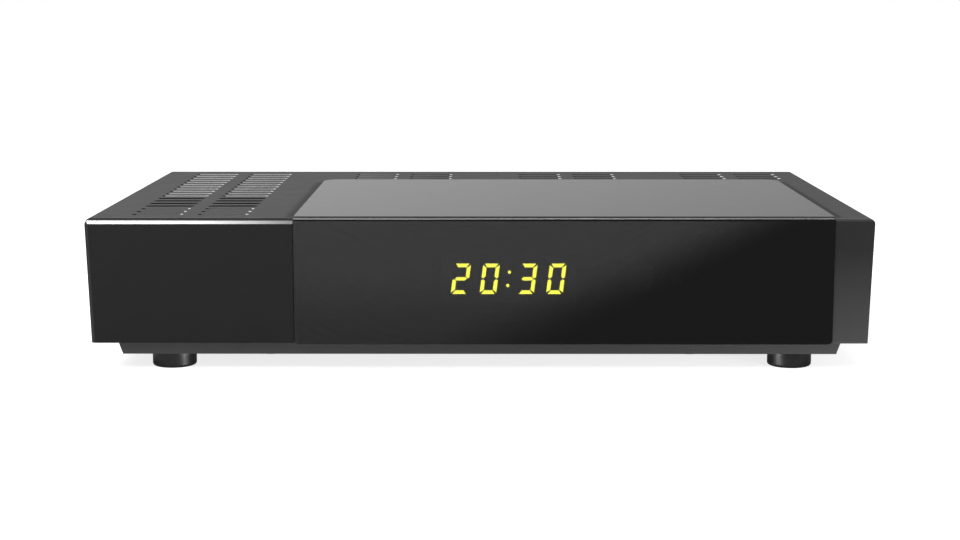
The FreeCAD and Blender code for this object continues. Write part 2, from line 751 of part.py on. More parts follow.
def panel_cutouts():
    """The openings of the rear panel, each a named gap wider than what passes through."""
    gap = "cutout_gap"
    loops = [circle(SOCKET_X[name], THREAD_Z, f"thread_radius + {gap}")
             for name in ("satellite_in", "satellite_out")]
    loops.append(scart_outline(f"-{gap}"))
    loops.append(hdmi_outline(f"-{gap}"))
    loops.append(standing("usb", "usb_width", "usb_height", f"-{gap}"))
    loops.append(circle(SOCKET_X["audio"], AUDIO_Z, f"audio_shoulder + {gap}"))
    loops.append(circle(SOCKET_X["eye"], EYE_Z, f"eye_collar + {gap}"))
    loops.append(standing("dc", "dc_width", "dc_height", f"-{gap}"))
    loops.append(centred(SWITCH_X, "switch_centre", f"switch_body_width + 2 * {gap}",
                         f"switch_body_height + 2 * {gap}"))
    loops += [circle(across, COVER_SCREW_Z, "screw_hole") for across in COVER_SCREW_PLACES]
    return loops


def rubber_foot(end_and_side):
    """Rubber foot with a sunk screw hole and a rounded lower edge."""
    across, along = FOOT_PLACES[end_and_side]
    body = new_body(f"rubber_foot_{end_and_side}")
    prism(body, "pad", "XY", "0", "foot_height", circle(across, back(along), "foot_radius"))
    round_edges(body, "round", "foot_round", rims_at(body.Shape, "z", "min"))
    carve(body, "recess", "XY", "0", "foot_recess",
          circle(across, back(along), "head_radius + head_gap"))
    carve(body, "hole", "XY", "foot_recess", "foot_height - foot_recess",
          circle(across, back(along), "screw_hole"))
    return body


# ---------------------------------------------------------------- front

def front_fascia():
    """Matte moulding: carrier plate, right-hand strip, raked skirt, lip, bosses and lugs."""
    body = new_body("front_fascia")
    prism(body, "lip", "XZ", back(FASCIA_BACK), "lip_reach", lip_outline())
    round_edges(body, "lip_corners", INNER_BEND, edges_at(body.Shape, "y", z="max"))
    prism(body, "plate", "XZ", back("panel_setback"),
          "window_sheet - panel_setback + fascia_plate", case_outline(SILL, "height"))
    round_edges(body, "bends", "corner_radius", edges_at(body.Shape, "y", z="max"))
    round_edges(body, "strip_edge", "strip_round", edges_at(body.Shape, "x", y="min", z="max"))
    carve(body, "bay", "XZ", back("0"), "window_sheet",
          rectangle("-width", f"{WINDOW_RIGHT} + seam", "0", "height + tongue_rise"))
    loft(body, "skirt", "foot_height",
         rectangle(f"-{TRAY_HALF}", TRAY_HALF, back(f"{FASCIA_FACE} + skirt_rake"),
                   back(SKIRT_BACK)),
         SILL, rectangle(f"-{TRAY_STEP}", TRAY_STEP, back(FASCIA_FACE), back(SKIRT_BACK)))
    for number, (across, _) in enumerate(LUG_PLACES):
        prism(body, f"lug_{number}", "XY", TRAY_FLOOR, "lug_height",
              rectangle(f"{across} - lug_width / 2", f"{across} + lug_width / 2",
                        back(FASCIA_BACK), back(f"{TRAY_FRONT} + lug_width")))
    carve(body, "lug_threads", "XY", TRAY_FLOOR, "lug_height",
          *ground_circles(LUG_PLACES, THREADED))
    prism(body, "bosses", "XZ", back(FASCIA_BACK), f"{FRONT_BOARD_FACE} - {FASCIA_BACK}",
          *[circle(across, DISPLAY_Z, "boss_radius") for across in BOSS_PLACES])
    carve(body, "boss_threads", "XZ", back(FASCIA_BACK), f"{FRONT_BOARD_FACE} - {FASCIA_BACK}",
          *[circle(across, DISPLAY_Z, THREADED) for across in BOSS_PLACES])
    carve(body, "sights", "XZ", back(FASCIA_FACE), "fascia_plate",
          centred(DISPLAY_X, DISPLAY_Z, "display_width + 2 * display_gap",
                  "display_height + 2 * display_gap"),
          centred(f"{DISPLAY_X} + ir_offset", DISPLAY_Z, "ir_width + 2 * display_gap",
                  "ir_height + 2 * display_gap"),
          circle(f"{DISPLAY_X} + led_offset", DISPLAY_Z, "led_radius + display_gap"))
    return body


def lip_outline():
    """The section of the lip, which follows the inside of the cover's top and sides."""
    inset, inner = "cover_sheet + seam", "cover_sheet + seam + lip_wall"
    low = f"({SILL} + tray_lip + lip_gap)"
    high = "(height - cover_sheet - seam)"
    ceiling = f"({high} - lip_wall)"
    half = [(half_width(low, inner), low), (half_width(low, inset), low),
            (half_width(high, inset), high)]
    far = [(f"-{across}", up) for across, up in reversed(half)]
    under = [(f"-{half_width(ceiling, inner)}", ceiling), (half_width(ceiling, inner), ceiling)]
    return polygon(*half, *far, *under)


def left_decor_panel():
    """Flat decor panel with a chamfered upper edge and a rounded lower one."""
    body = new_body("left_decor_panel")
    right, top = f"{WINDOW_LEFT} - seam", "(height - decor_drop)"
    prism(body, "panel", "XZ", back("panel_setback"), "window_sheet - panel_setback",
          polygon((f"-{half_width(SILL)}", SILL), (right, SILL), (right, top),
                  (f"-{half_width(top)}", top)))
    round_edges(body, "corner", "corner_radius", edges_at(body.Shape, "y", x="min", z="max"))
    chamfer_edges(body, "upper_edge", "decor_chamfer",
                  edges_at(body.Shape, "x", y="min", z="max"))
    round_edges(body, "lower_edge", "panel_bottom_round",
                edges_at(body.Shape, "x", y="min", z="min"))
    return body


def gloss_front_panel():
    """Window and tongue in one moulding: it stands before the fascia and lies on the cover."""
    body = new_body("gloss_front_panel")
    low = f"({SILL} - window_drop)"
    top = "(height + tongue_rise)"
    prism(body, "angle", "YZ", WINDOW_LEFT, f"{WINDOW_RIGHT} - {WINDOW_LEFT}",
          polygon((back("0"), low), (back("window_sheet"), low),
                  (back("window_sheet"), "height"), (back("tongue_reach"), "height"),
                  (back("tongue_reach"), top), (back("0"), top)))
    round_edges(body, "tongue_corners", "tongue_corner_round",
                edges_at(body.Shape, "z", y="max"))
    round_edges(body, "lower_corners", "window_corner_round",
                edges_at(body.Shape, "y", z="min"))
    round_edges(body, "front_edge", "window_edge_round",
                edges_at(body.Shape, "x", y="min", z="max"))
    round_edges(body, "tongue_edge", "tongue_edge_round",
                edges_at(body.Shape, "x", y="max", z="max"))
    return body


def led_display_module():
    """Four-digit display block on the front board."""
    body = new_body("led_display_module")
    prism(body, "block", "XZ", back(DISPLAY_FACE), "display_depth",
          centred(DISPLAY_X, DISPLAY_Z, "display_width", "display_height"))
    return body


def front_board():
    body = new_body("front_board")
    holes = [circle(across, DISPLAY_Z, "screw_hole") for across in BOSS_PLACES]
    left, right = (f"{FRONT_BOARD_X} {sign} front_board_width / 2" for sign in "-+")
    prism(body, "board", "XZ", back(FRONT_BOARD_FACE), "board_thickness",
          rectangle(left, right, FRONT_BOARD_LOW, FRONT_BOARD_TOP), *holes)
    return body


def front_board_part(label, start, length, *loops):
    """A part that stands on the front board."""
    body = new_body(label)
    prism(body, "block", "XZ", back(start), length, *loops)
    return body


def front_board_parts():
    reach = f"({FRONT_BOARD_FACE} - {DISPLAY_FACE})"
    front_board_part("infrared_receiver", DISPLAY_FACE, reach,
                     centred(f"{DISPLAY_X} + ir_offset", DISPLAY_Z, "ir_width", "ir_height"))
    led = front_board_part("status_led", DISPLAY_FACE, reach,
                           circle(f"{DISPLAY_X} + led_offset", DISPLAY_Z, "led_radius"))
    round_edges(led, "dome", "led_round", rims_at(led.Shape, "y", "min"))
    front_board_part("display_driver_chip", FRONT_BOARD_BACK, "driver_depth",
                     centred(DISPLAY_X, DISPLAY_Z, "driver_width", "driver_height"))
    front_board_part("front_ribbon_header", FRONT_BOARD_BACK, "header_reach",
                     centred(RIBBON_X, RIBBON_Z, "ribbon_width + 2 * header_wall",
                             "header_thickness"))


# ---------------------------------------------------------------- boards and their parts

def main_board():
    body = new_body("main_board")
    prism(body, "board", "XY", f"{BOARD_TOP} - board_thickness", "board_thickness",
          rectangle(BOARD_LEFT, BOARD_RIGHT, back(BOARD_FRONT), back(BOARD_REAR)),
          *ground_circles(STANDOFF_PLACES, "screw_hole"))
    return body


def from_left(across, along, wide, deep):
    """A rectangle on the board, placed from its left front corner."""
    return centred(f"{BOARD_LEFT} + {across}", back(f"{BOARD_FRONT} + {along}"), wide, deep)


def from_right(across, along, wide, deep):
    """A rectangle on the board, placed from its right front corner."""
    return centred(f"{BOARD_RIGHT} - {across}", back(f"{BOARD_FRONT} + {along}"), wide, deep)


def on_board(label, high, *loops):
    """Parts of one height that stand on the main board."""
    body = new_body(label)
    prism(body, "block", "XY", BOARD_TOP, high, *loops)
    return body


def board_chips():
    on_board("decoder_chip", "decoder_height",
             from_left("decoder_left", "decoder_front", "decoder_side", "decoder_side"))
    on_board("memory_chips", "memory_height",
             *[from_left("memory_left", along, "memory_width", "memory_length")
               for along in ("memory_front", "memory_front + memory_step")])
    on_board("flash_chip", "flash_height",
             from_left("flash_left", "flash_front", "flash_side", "flash_side"))
    on_board("lnb_supply_chip", "supply_height",
             from_right("supply_right", "supply_front", "supply_side", "supply_side"))
    on_board("crystal", "crystal_height",
             from_left("crystal_left", "crystal_front", "crystal_width", "crystal_depth"))
    on_board("voltage_regulators", "regulator_height",
             *[from_left("regulator_left", along, "regulator_side", "regulator_side")
               for along in ("regulator_front", "regulator_front + regulator_step")])


def power_coils():
    """Moulded coils with rounded corners."""
    body = on_board("power_coils", "coil_height",
                    from_left("coil_left", "coil_front", "coil_side", "coil_side"),
                    from_right("coil_right", "coil_front", "coil_side", "coil_side"))
    round_edges(body, "corners", "coil_round", edges_at(body.Shape, "z"))
    return body


def storage_capacitors():
    """Upright cans: two large ones near the inlet and two small ones near the tuner."""
    large = on_board("storage_capacitors", "large_can_height",
                     *[board_circle(f"{BOARD_LEFT} + can_left", along, "large_can_radius")
                       for along in ("can_front", "can_front + can_step")])
    round_edges(large, "rims", "can_round", rims_at(large.Shape, "z", "max"))
    small = on_board("filter_capacitors", "small_can_height",
                     *[board_circle(f"{BOARD_RIGHT} - {across}", "can_front", "small_can_radius")
                       for across in ("filter_right", "filter_right + filter_step")])
    round_edges(small, "rims", "can_round", rims_at(small.Shape, "z", "max"))


def board_circle(across, along, radius):
    return circle(across, back(f"{BOARD_FRONT} + {along}"), radius)


def decoder_heatsink():
    """Extruded heatsink: a base with upright fins."""
    body = new_body("decoder_heatsink")
    prism(body, "base", "XY", f"{BOARD_TOP} + decoder_height", "sink_base",
          from_left("decoder_left", "decoder_front", "sink_side", "sink_side"))
    first = f"{BOARD_LEFT} + decoder_left - (fins - 1) * fin_pitch / 2"
    fin = prism(body, "fin", "XY", f"{BOARD_TOP} + decoder_height + sink_base",
                "sink_height - sink_base",
                centred(first, back(f"{BOARD_FRONT} + decoder_front"),
                        "fin_thickness", "sink_side"))
    repeat(body, "fin_row", fin, "X", "fins", "fin_pitch")
    return body


def tuner_can():
    """Soldered screening can round the tuner, and its lid."""
    left = f"({SOCKET_X['satellite_out']} - thread_room / 2)"
    right = f"({SOCKET_X['satellite_in']} + thread_room / 2)"
    front, rear = back(f"{BOARD_REAR} - tuner_depth"), back(BOARD_REAR)
    walls = on_board("tuner_can", "tuner_height - can_sheet",
                     rectangle(left, right, front, rear),
                     rectangle(f"{left} + can_sheet", f"{right} - can_sheet",
                               f"{front} + can_sheet", f"{rear} - can_sheet"))
    lid = new_body("tuner_can_lid")
    prism(lid, "plate", "XY", f"{BOARD_TOP} + tuner_height - can_sheet", "can_sheet",
          rectangle(left, right, front, rear))
    return walls, lid


def ribbon_cable():
    """Flat cable that leaves the front header level and turns down into the main header."""
    body = new_body("ribbon_cable")
    front = back(f"{FRONT_BOARD_BACK} + header_reach")
    drop = back(f"{BOARD_FRONT} + header_inset")
    foot, half = f"{BOARD_TOP} + header_reach", "ribbon_sheet / 2"
    under, over = f"{RIBBON_Z} - {half}", f"{RIBBON_Z} + {half}"
    prism(body, "strip", "YZ", f"{RIBBON_X} - ribbon_width / 2", "ribbon_width",
          polygon((front, under), (f"{drop} - {half}", under), (f"{drop} - {half}", foot),
                  (f"{drop} + {half}", foot), (f"{drop} + {half}", over), (front, over)))
    bend = f"min(ribbon_bend; {over} - ({foot}) - 2 * ribbon_sheet)"  # within the upright run
    round_edges(body, "outer_bend", f"{bend} + ribbon_sheet",
                closest_edge(body.Shape, "x", "max", "max"))
    round_edges(body, "inner_bend", bend, closest_edge(body.Shape, "x", "max", "max"))
    return body


def main_ribbon_header():
    body = new_body("main_ribbon_header")
    prism(body, "block", "XY", BOARD_TOP, "header_reach",
          centred(RIBBON_X, back(f"{BOARD_FRONT} + header_inset"),
                  "ribbon_width + 2 * header_wall", "header_thickness"))
    return body


# ---------------------------------------------------------------- sockets

def satellite_connector(label, socket):
    """Threaded connector: a square root, a neck under the nut, a thread and a bore."""
    body = new_body(label)
    across = SOCKET_X[socket]
    end = "(depth + connector_reach)"
    prism(body, "root", "XZ", back(BOARD_REAR), "board_gap",
          centred(across, THREAD_Z, "nut_flats", "nut_flats"))
    prism(body, "neck", "XZ", back(PANEL_FRONT), f"{NUT_END} - {PANEL_FRONT}",
          circle(across, THREAD_Z, "thread_root"))
    prism(body, "thread", "XZ", back(NUT_END), f"{end} - {NUT_END}",
          circle(across, THREAD_Z, "thread_radius"))
    chamfer_edges(body, "end", "thread_chamfer", rims_at(body.Shape, "y", "max"))
    carve(body, "bore", "XZ", back(f"{end} - insulator_depth"), "insulator_depth",
          circle(across, THREAD_Z, "dielectric_radius"))
    return body


def connector_rings(label, start, length, outer, hole):
    """Rings of one kind round both threaded connectors."""
    body = new_body(label)
    loops = []
    for name in ("satellite_in", "satellite_out"):
        loops += [outer(SOCKET_X[name]), circle(SOCKET_X[name], THREAD_Z, f"{hole} + thread_gap")]
    prism(body, "rings", "XZ", back(start), length, *loops)
    return body


def hexagon(across):
    half, point, side = "nut_flats / 2", "nut_flats / sqrt(3)", "nut_flats / sqrt(12)"
    corners = ((half, f"-{side}"), (half, side), ("0", point), (f"-{half}", side),
               (f"-{half}", f"-{side}"), ("0", f"-{point}"))
    return polygon(*[(f"{across} + {x}", f"{THREAD_Z} + {up}") for x, up in corners])


def connector_fittings():
    connector_rings("connector_washers", PANEL_BACK, "washer_thickness",
                    lambda across: circle(across, THREAD_Z, "washer_radius"), "thread_radius")
    connector_rings("connector_nuts", f"{PANEL_BACK} + washer_thickness", "nut_thickness",
                    hexagon, "thread_root")
    body = new_body("connector_insulators")
    loops = []
    for name in ("satellite_in", "satellite_out"):
        loops += [circle(SOCKET_X[name], THREAD_Z, "dielectric_radius"),
                  circle(SOCKET_X[name], THREAD_Z, "pin_hole_radius")]
    prism(body, "plugs", "XZ", back("depth + connector_reach - insulator_depth"),
          "insulator_depth - insulator_sunk", *loops)


def centred(across, up, wide, high):
    return rectangle(f"{across} - ({wide}) / 2", f"{across} + ({wide}) / 2",
                     f"{up} - ({high}) / 2", f"{up} + ({high}) / 2")


def standing(socket, wide, high, inset="0"):
    """A socket's rectangle, standing on the board."""
    across = SOCKET_X[socket]
    return rectangle(f"{across} - {wide} / 2 + ({inset})", f"{across} + {wide} / 2 - ({inset})",
                     f"{BOARD_TOP} + ({inset})", f"{BOARD_TOP} + {high} - ({inset})")


def scart_outline(inset="0"):
    left = f"({SOCKET_X['scart']} - scart_width / 2 + ({inset}))"
    right = f"({SOCKET_X['scart']} + scart_width / 2 - ({inset}))"
    low, high = f"({BOARD_TOP} + ({inset}))", f"({BOARD_TOP} + scart_height - ({inset}))"
    return polygon((left, low), (f"{right} - scart_corner", low), (right, f"{low} + scart_corner"),
                   (right, high), (left, high))


def hdmi_outline(inset="0"):
    left = f"({SOCKET_X['hdmi']} - hdmi_width / 2 + ({inset}))"
    right = f"({SOCKET_X['hdmi']} + hdmi_width / 2 - ({inset}))"
    low, high = f"({BOARD_TOP} + ({inset}))", f"({BOARD_TOP} + hdmi_height - ({inset}))"
    return polygon((f"{left} + hdmi_corner", low), (f"{right} - hdmi_corner", low),
                   (right, f"{low} + hdmi_corner"), (right, high), (left, high),
                   (left, f"{low} + hdmi_corner"))


def hollow_shell(label, outline, wall, start, length):
    """A socket shell, closed at its inner end."""
    body = new_body(label)
    prism(body, "shell", "XZ", back(start), length, outline("0"))
    carve(body, "mouth", "XZ", back(f"{start} + {wall}"), f"{length} - {wall}", outline(wall))
    return body


def scart_socket():
    start = "(depth + scart_reach - scart_depth)"
    hollow_shell("scart_shell", scart_outline, "scart_wall", start, "scart_depth")
    block = new_body("scart_insert")
    prism(block, "root", "XZ", back(f"{start} + scart_wall"), "insert_root",
          scart_outline("scart_wall"))
    prism(block, "block", "XZ", back(f"{start} + scart_wall + insert_root"),
          "scart_block - insert_root", scart_outline("scart_wall + scart_slot"))
    first_x = f"{SOCKET_X['scart']} - (contact_columns - 1) * contact_pitch / 2"
    first_z = f"{BOARD_TOP} + scart_height / 2 - (contact_rows - 1) * contact_row_pitch / 2"
    contact = carve(block, "contact", "XZ",
                    back(f"{start} + scart_wall + scart_block - contact_depth"), "contact_depth",
                    centred(first_x, first_z, "contact_width", "contact_height"))
    repeat(block, "contacts", contact, "X", "contact_columns", "contact_pitch",
           "Z", "contact_rows", "contact_row_pitch")


def usb_outline(inset="0"):
    return standing("usb", "usb_width", "usb_height", inset)


def data_socket(name, outline, long):
    """A steel shell round a moulded insert whose tongue carries the contacts."""
    start = f"({PANEL_BACK} + shell_reach - {long})"
    hollow_shell(f"{name}_shell", outline, "shell_sheet", start, long)
    insert = new_body(f"{name}_insert")
    prism(insert, "root", "XZ", back(f"{start} + shell_sheet"), "insert_root",
          outline("shell_sheet"))
    prism(insert, "tongue", "XZ", back(f"{start} + shell_sheet + insert_root"),
          f"{long} - shell_sheet - insert_root - tongue_sunk",
          centred(SOCKET_X[name], f"{BOARD_TOP} + {name}_height / 2",
                  f"{name}_width - 2 * tongue_side", "tongue_height"))


def barrel_socket(label, name, height, end, *steps):
    """A moulded block behind the panel, with round steps and a bore that ends at its mouth."""
    body = new_body(label)
    across = SOCKET_X[name]
    prism(body, "block", "XZ", back(f"{PANEL_FRONT} - {name}_depth"), f"{name}_depth",
          standing(name, f"{name}_width", f"{name}_height"))
    start = PANEL_FRONT
    for number, (radius, step_end) in enumerate(steps):
        prism(body, f"step_{number}", "XZ", back(start), f"{step_end} - {start}",
              circle(across, height, radius))
        start = step_end
    carve(body, "bore", "XZ", back(f"{end} - {name}_bore_depth"), f"{name}_bore_depth",
          circle(across, height, f"{name}_bore"))
    return body


def coaxial_audio_socket():
    """Moulded core with a shoulder in the panel, and the metal sleeve round it."""
    shoulder = f"({PANEL_BACK} + audio_step)"
    sleeve_end = f"({PANEL_BACK} + audio_reach)"
    core_end = f"({sleeve_end} - audio_sunk)"
    barrel_socket("coaxial_audio_socket", "audio", AUDIO_Z, core_end,
                  ("audio_shoulder", shoulder), ("audio_core", core_end))
    sleeve = new_body("coaxial_audio_sleeve")
    prism(sleeve, "tube", "XZ", back(shoulder), f"{sleeve_end} - {shoulder}",
          circle(SOCKET_X["audio"], AUDIO_Z, "audio_radius"),
          circle(SOCKET_X["audio"], AUDIO_Z, "audio_core + thread_gap"))


def remote_eye_jack():
    end = f"({PANEL_BACK} + eye_reach)"
    barrel_socket("remote_eye_jack", "eye", EYE_Z, end, ("eye_collar", end))


def dc_inlet():
    """Moulded inlet with a round well, and the metal pin that stands in it."""
    body = new_body("dc_inlet")
    end = f"({PANEL_BACK} + dc_reach)"
    middle = f"{BOARD_TOP} + dc_height / 2"
    prism(body, "block", "XZ", back(f"{end} - dc_depth"), "dc_depth",
          standing("dc", "dc_width", "dc_height"))
    carve(body, "well", "XZ", back(f"{end} - dc_well"), "dc_well",
          circle(SOCKET_X["dc"], middle, "dc_bore"))
    pin = new_body("dc_contact_pin")
    prism(pin, "pin", "XZ", back(f"{end} - dc_well"), "dc_well - tongue_sunk",
          circle(SOCKET_X["dc"], middle, "dc_pin"))


def power_switch():
    """Switch housing that snaps into the panel, and its rocker on two pivot pins."""
    housing = new_body("power_switch_housing")
    face = "bezel_thickness + depth - cover_sheet"
    prism(housing, "case", "XZ", back(f"{PANEL_BACK} - switch_depth"), "switch_depth",
          centred(SWITCH_X, "switch_centre", "switch_body_width", "switch_body_height"))
    prism(housing, "bezel", "XZ", back(PANEL_BACK), "bezel_thickness",
          centred(SWITCH_X, "switch_centre", "bezel_width", "bezel_height"))
    round_edges(housing, "bezel_corners", "bezel_round",
                edges_at(housing.Shape, "y", z="max") + edges_at(housing.Shape, "y", z="min"))
    carve(housing, "mouth", "XZ", back(f"{PIVOT} - switch_floor"),
          f"{face} - {PIVOT} + switch_floor",
          centred(SWITCH_X, "switch_centre", "rocker_width + 2 * rocker_gap",
                  "2 * (rocker_radius + rocker_gap)"))
    carve(housing, "pivot_holes", "YZ", f"{SWITCH_X} - switch_body_width / 2",
          "switch_body_width", circle(back(PIVOT), "switch_centre", "rocker_pin + pin_gap"))
    return housing


def switch_wiring():
    """The switch's two flat terminals, and a lead from each down to the main board."""
    terminals = new_body("switch_terminals")
    heights = ["(switch_centre - blade_spread)", "(switch_centre + blade_spread)"]
    prism(terminals, "blades", "XZ", back(f"{SWITCH_BACK} - blade_reach"), "blade_reach",
          *[centred(SWITCH_X, height, "blade_width", "blade_sheet") for height in heights])
    leads = new_body("switch_leads")
    along = back(f"{SWITCH_BACK} - blade_reach + lead_radius")
    start = f"({SWITCH_X} + blade_width / 2)"
    for number, height in enumerate(heights):
        landing = f"({BOARD_LEFT} + lead_inset + {number} * lead_step)"
        bent_rod(leads, f"lead_{number}", along, (start, height), (landing, BOARD_TOP),
                 "lead_bend", "lead_radius")


def power_rocker():
    """Rocker about its own pivot, tipped onto one of its two stops."""
    body = new_body("power_rocker")
    ends = [(f"rocker_radius * {math.sin(math.radians(angle)):.4f}",
             f"rocker_radius * {math.cos(math.radians(angle)):.4f}")
            for angle in ROCKER_END_ANGLES]
    half = [("rocker_waist", "0")] + ends + [("-rocker_heel", "rocker_heel_half")]
    far = [(across, f"-{up}") for across, up in reversed(half[1:])]
    prism(body, "paddle", "YZ", "-rocker_width / 2", "rocker_width", polygon(*half, *far))
    prism(body, "pivot_pins", "YZ", "-rocker_width / 2 - rocker_pin_reach",
          "rocker_width + 2 * rocker_pin_reach", circle("0", "0", "rocker_pin"))
    body.Placement = FreeCAD.Placement(FreeCAD.Vector(), FreeCAD.Vector(1, 0, 0), 1)
    bind(body, "Placement.Rotation.Angle", "rocker_tilt * -1")
    bind(body, "Placement.Base.x", SWITCH_X)
    bind(body, "Placement.Base.y", back(PIVOT))
    bind(body, "Placement.Base.z", "switch_centre")
    return body


# ---------------------------------------------------------------- screws

def screw_set(label, plane, head_start, shank_start, shank_length, places, cross_start):
    """Cross-head screws of one kind: heads, shanks and recesses along one axis."""
    body = new_body(label)
    prism(body, "heads", plane, head_start, "head_height",
          *[circle(across, up, "head_radius") for across, up in places])
    prism(body, "shanks", plane, shank_start, shank_length,
          *[circle(across, up, "screw_radius") for across, up in places])
    carve(body, "crosses", plane, cross_start, "cross_depth",
          *[cross(across, up) for across, up in places])
    return body


def ground_places(places):
    return [(across, back(along)) for across, along in places]


def screws():
    cover = [(across, COVER_SCREW_Z) for across in COVER_SCREW_PLACES]
    screw_set("cover_screws", "XZ", back("depth"), back("depth - screw_reach"), "screw_reach",
              cover, back("depth + head_height - cross_depth"))
    below = "foot_recess - head_height"
    screw_set("foot_screws", "XY", below, "foot_recess",
              f"{TRAY_FLOOR} - foot_recess + foot_screw_tip",
              ground_places(FOOT_PLACES.values()), below)
    tray = "(foot_height - head_height)"
    screw_set("tray_screws", "XY", tray, "foot_height", "tray_sheet + lug_height - lug_skin",
              ground_places(LUG_PLACES), tray)
    screw_set("panel_screws", "XY", tray, "foot_height", "tray_sheet + panel_sheet + screw_tip",
              ground_places(TAB_PLACES), tray)
    screw_set("board_screws", "XY", BOARD_TOP, f"{BOARD_TOP} - screw_reach", "screw_reach",
              ground_places(STANDOFF_PLACES), f"{BOARD_TOP} + head_height - cross_depth")
    screw_set("front_board_screws", "XZ", back(FRONT_BOARD_BACK),
              back(f"{FRONT_BOARD_BACK} - screw_reach"), "screw_reach",
              [(across, DISPLAY_Z) for across in BOSS_PLACES],
              back(f"{FRONT_BOARD_BACK} + head_height - cross_depth"))


# ---------------------------------------------------------------- the whole receiver

def build():
    top_cover()
    chassis_tray()
    rear_panel()
    for end_and_side in FOOT_PLACES:
        rubber_foot(end_and_side)
    front_fascia()
    left_decor_panel()
    gloss_front_panel()
    led_display_module()
    front_board()
    front_board_parts()
    main_board()
    board_chips()
    power_coils()
    storage_capacitors()
    decoder_heatsink()
    tuner_can()
    main_ribbon_header()
    ribbon_cable()
    satellite_connector("satellite_in_connector", "satellite_in")
    satellite_connector("satellite_out_connector", "satellite_out")
    connector_fittings()
    scart_socket()
    data_socket("hdmi", hdmi_outline, "hdmi_depth")
    data_socket("usb", usb_outline, "usb_depth")
    coaxial_audio_socket()
    remote_eye_jack()
    dc_inlet()
    power_switch()
    switch_wiring()
    power_rocker()
    screws()


def export():
    """Write each sub-part to a file of its own, once every object of the document is sound."""
    doc.recompute()
    for thing in doc.Objects:
        if "Invalid" in thing.State or "Error" in thing.State:
            raise RuntimeError(f"{thing.Label}: {thing.State}")
    bodies = [thing for thing in doc.Objects if thing.TypeId == "PartDesign::Body"]
    for body in bodies:
        if body.Shape.isNull() or not body.Shape.isValid():
            raise RuntimeError(f"{body.Label}: no sound shape")
    os.makedirs("parts", exist_ok=True)
    for body in bodies:
        body.Shape.exportStep(f"parts/{body.Label}.step")
        print(f"{body.Label}: {len(body.Shape.Solids)} solids, {body.Shape.Volume:.1f} mm3")


build()
export()
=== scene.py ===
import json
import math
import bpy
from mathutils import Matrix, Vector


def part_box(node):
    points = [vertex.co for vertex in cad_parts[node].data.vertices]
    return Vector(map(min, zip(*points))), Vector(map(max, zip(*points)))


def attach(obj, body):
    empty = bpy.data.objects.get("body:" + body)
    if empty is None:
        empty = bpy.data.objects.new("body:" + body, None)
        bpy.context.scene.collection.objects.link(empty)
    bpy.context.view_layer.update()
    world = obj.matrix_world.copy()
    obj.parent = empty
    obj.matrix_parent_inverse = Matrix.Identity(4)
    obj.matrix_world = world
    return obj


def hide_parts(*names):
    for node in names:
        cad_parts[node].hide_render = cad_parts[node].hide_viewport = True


bl_info = {
    "name": "Satellite Receiver Dressing",
    "version": (1, 0, 0),
    "blender": (4, 5, 0),
    "location": "3D View > Sidebar > Receiver",
    "description": "Finishes, clock, threads, contacts and chip legs of a satellite receiver",
    "category": "Object",
}

import bmesh
import bpy
from bpy.props import FloatProperty, FloatVectorProperty, PointerProperty, StringProperty
from mathutils import Matrix, Vector

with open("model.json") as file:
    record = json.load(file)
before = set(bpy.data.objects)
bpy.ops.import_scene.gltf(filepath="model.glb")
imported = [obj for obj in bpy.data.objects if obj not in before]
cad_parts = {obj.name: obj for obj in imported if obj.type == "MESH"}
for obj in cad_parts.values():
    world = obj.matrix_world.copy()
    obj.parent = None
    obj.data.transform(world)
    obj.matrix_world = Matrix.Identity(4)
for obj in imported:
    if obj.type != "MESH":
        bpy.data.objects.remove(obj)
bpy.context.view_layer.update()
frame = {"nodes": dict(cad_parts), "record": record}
FEET = [name for name in frame["nodes"] if name.startswith("rubber_foot")]

MM = 0.001
ROOT = "root"
X, Y, Z = range(3)
RIGHT, REAR, UP = Vector((1, 0, 0)), Vector((0, 1, 0)), Vector((0, 0, 1))


def mm(*values):
    """A place or size given in millimetres, in metres."""
    return Vector(values) * MM


def grey(level):
    return (level, level, level)


# ---------------------------------------------------------------- settings


def colour(name, description, level):
    return FloatVectorProperty(name=name, description=description, subtype="COLOR", size=3,
                               min=0, max=1, default=level)


def length(name, description, millimetres):
    return FloatProperty(name=name, description=description, unit="LENGTH",
                         default=millimetres * MM, min=0)


class ReceiverFinishes(bpy.types.PropertyGroup):
    """Colours of the case, the clock and the boards"""

    cover: colour("Cover", "Powder coat of the top cover", grey(0.036))
    tray: colour("Tray", "Powder coat of the tray under the case", grey(0.055))
    panel: colour("Rear panel", "Powder coat of the rear panel", grey(0.03))
    fascia: colour("Fascia", "Spark-eroded plastic of the front frame", grey(0.06))
    decor: colour("Decor panel", "Satin plastic of the left front panel", grey(0.008))
    window: colour("Window tint", "Colour of light that has passed the smoked window", grey(0.02))
    rubber: colour("Feet", "Rubber of the four feet", grey(0.004))
    digits: colour("Digits", "Light of the clock's segments", (1.0, 1.0, 0.08))
    board: colour("Board", "Solder mask of the boards", (0.012, 0.10, 0.035))


